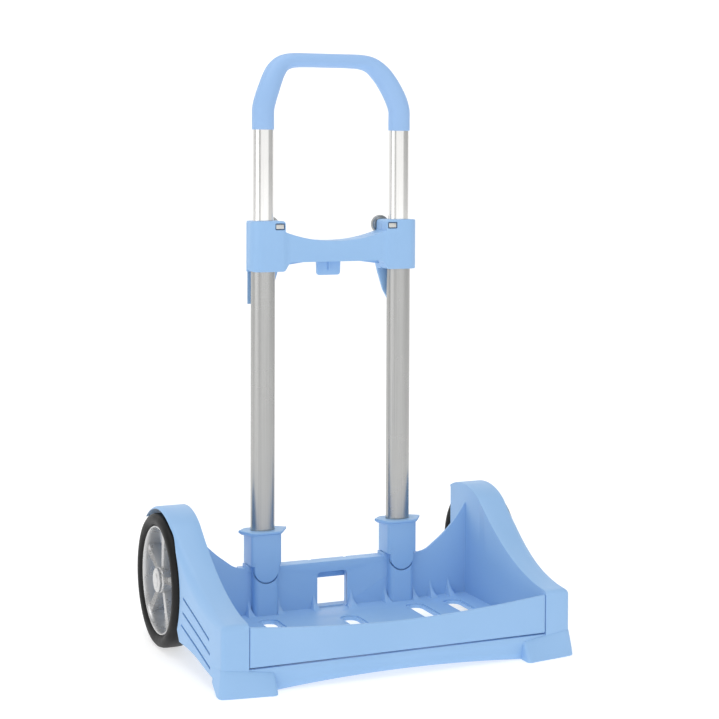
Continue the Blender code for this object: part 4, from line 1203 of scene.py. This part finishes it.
def makeWheel(label, side):
    axle = (0, shared["axleY"], shared["axleZ"])
    body = bodyOf[label]["wheel"]
    tyre = lathe(wheel["tyre"], "x", axle, 96)
    finishPiece("tyre_ring_" + label, flipSide(tyre, side), "tyreRubber", body, ("tyre_" + label,),
                50)
    rim = lathe(wheel["rim"], "x", axle, 96)
    addTo(rim, lathe(wheel["hub"], "x", axle, 48))
    for i in range(wheel["spokes"]):
        addTo(rim, makeSpoke(math.tau * (i + wheel["spokeTurn"]) / wheel["spokes"]))
    finishPiece("spoked_rim_" + label, flipSide(rim, side), "wheelSilver", body,
                ("wheel_rim_" + label,), 35)
    cap = lathe(wheel["cap"], "x", axle, 48)
    finishPiece("hub_dome_" + label, flipSide(cap, side), "wheelSilver", body, ("hub_cap_" + label,),
                35)


for label, side in sides:
    makeWheel(label, side)
print("wheels done")


# finishes of the pieces kept from the frame

keptFinishes = {
    "zincSteel": ("flap_pin_left", "flap_pin_right", "socket_screw_left", "socket_screw_right",
                  "crossbar_screw_1", "crossbar_screw_2", "crossbar_screw_3", "crossbar_screw_4",
                  "nut_washer_left", "nut_washer_right", "pad_spring_left", "pad_spring_right",
                  "grip_screw_left", "grip_screw_right", "stub_axle_left", "stub_axle_right",
                  "axle_washer_left", "axle_washer_right", "push_nut_left", "push_nut_right"),
    "blackPlastic": ("guide_bush_left", "guide_bush_right", "tube_glide_left", "tube_glide_right",
                     "friction_pad_left", "friction_pad_right"),
    "bushWhite": ("inner_bush_left", "inner_bush_right", "outer_bush_left", "outer_bush_right"),
}
for finish, names in keptFinishes.items():
    for name in names:
        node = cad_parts[name]
        node.data.materials.clear()
        node.data.materials.append(finishes[finish])
print("kept pieces finished")


# studio

studio = {
    "floorColour": (0.55, 0.55, 0.55), "floorGlow": 0.62, "coveStart": 1.5, "coveRadius": 0.8,
    "coveTop": 3.2, "floorFront": -20.0, "coveWidth": 30.0, "world": 0.50,
    "lens": 85.70, "sensor": 36.0, "shift": (-0.0017, -0.2110), "cameraPlace": (-0.6577, -1.5568, 0.4865),
    "tilt": 90 - 1.82, "heading": -23.12, "roll": 0.2,
    # name, place, target, size, power
    "lights": [("leftSoftbox", (-2.035, -1.619, 0.95), (0, 0, 0.3), (2.05, 1.8), 11),
               ("rightSoftbox", (0.63, -2.52, 0.95), (0, 0, 0.3), (2.65, 1.8), 8.5),
               ("topLight", (-0.2, -0.2, 2.5), (0, 0, 0), (1.6, 1.6), 19)],
}


def makeCove():
    s = studio
    profile = [(s["floorFront"], 0.0), (s["coveStart"], 0.0)]
    profile += [(s["coveStart"] + s["coveRadius"] * math.sin(math.radians(a)),
                 s["coveRadius"] * (1 - math.cos(math.radians(a)))) for a in range(10, 91, 10)]
    profile.append((s["coveStart"] + s["coveRadius"], s["coveTop"]))
    bm = bmesh.new()
    verts = [bm.verts.new((-s["coveWidth"] / 2, y, z)) for y, z in profile]
    edges = [bm.edges.new((verts[i], verts[i + 1])) for i in range(len(verts) - 1)]
    pulled = bmesh.ops.extrude_edge_only(bm, edges=edges)["geom"]
    bmesh.ops.translate(bm, vec=(s["coveWidth"], 0, 0),
                        verts=[v for v in pulled if isinstance(v, bmesh.types.BMVert)])
    cove = meshObject("studioCove", bm)
    cove.data.shade_smooth()
    material, nodes, links, shader = blankMaterial("paperCove")
    shader.inputs["Roughness"].default_value = 0.85
    shader.inputs["Base Color"].default_value = (*s["floorColour"], 1)
    shader.inputs["Emission Color"].default_value = (1, 1, 1, 1)
    shader.inputs["Emission Strength"].default_value = s["floorGlow"]
    cove.data.materials.append(material)


def addLight(name, place, target, size, power):
    data = bpy.data.lights.new(name, "AREA")
    data.shape = "RECTANGLE"
    data.size, data.size_y = size
    data.energy = power
    lamp = bpy.data.objects.new(name, data)
    lamp.location = place
    lamp.rotation_euler = (Vector(target) - Vector(place)).to_track_quat("-Z", "Y").to_euler()
    bpy.context.scene.collection.objects.link(lamp)


def makeWorld():
    world = bpy.data.worlds.new("studioWorld")
    world.use_nodes = True
    background = world.node_tree.nodes["Background"]
    background.inputs["Color"].default_value = (1, 1, 1, 1)
    background.inputs["Strength"].default_value = studio["world"]
    bpy.context.scene.world = world
    bpy.context.scene.view_settings.view_transform = "Standard"


def makeCamera():
    camera = bpy.data.cameras.new("studioCamera")
    camera.lens = studio["lens"]
    camera.sensor_width = studio["sensor"]
    camera.shift_x, camera.shift_y = studio["shift"]
    camera.clip_start, camera.clip_end = 0.05, 50
    holder = bpy.data.objects.new("studioCamera", camera)
    holder.location = studio["cameraPlace"]
    aim = Euler((math.radians(studio["tilt"]), 0, math.radians(studio["heading"]))).to_matrix()
    roll = Matrix.Rotation(math.radians(studio["roll"]), 3, "Z")
    holder.rotation_euler = (aim @ roll).to_euler()
    bpy.context.scene.collection.objects.link(holder)
    bpy.context.scene.camera = holder


makeCove()
for light in studio["lights"]:
    addLight(*light)
makeWorld()
makeCamera()
print("studio done")
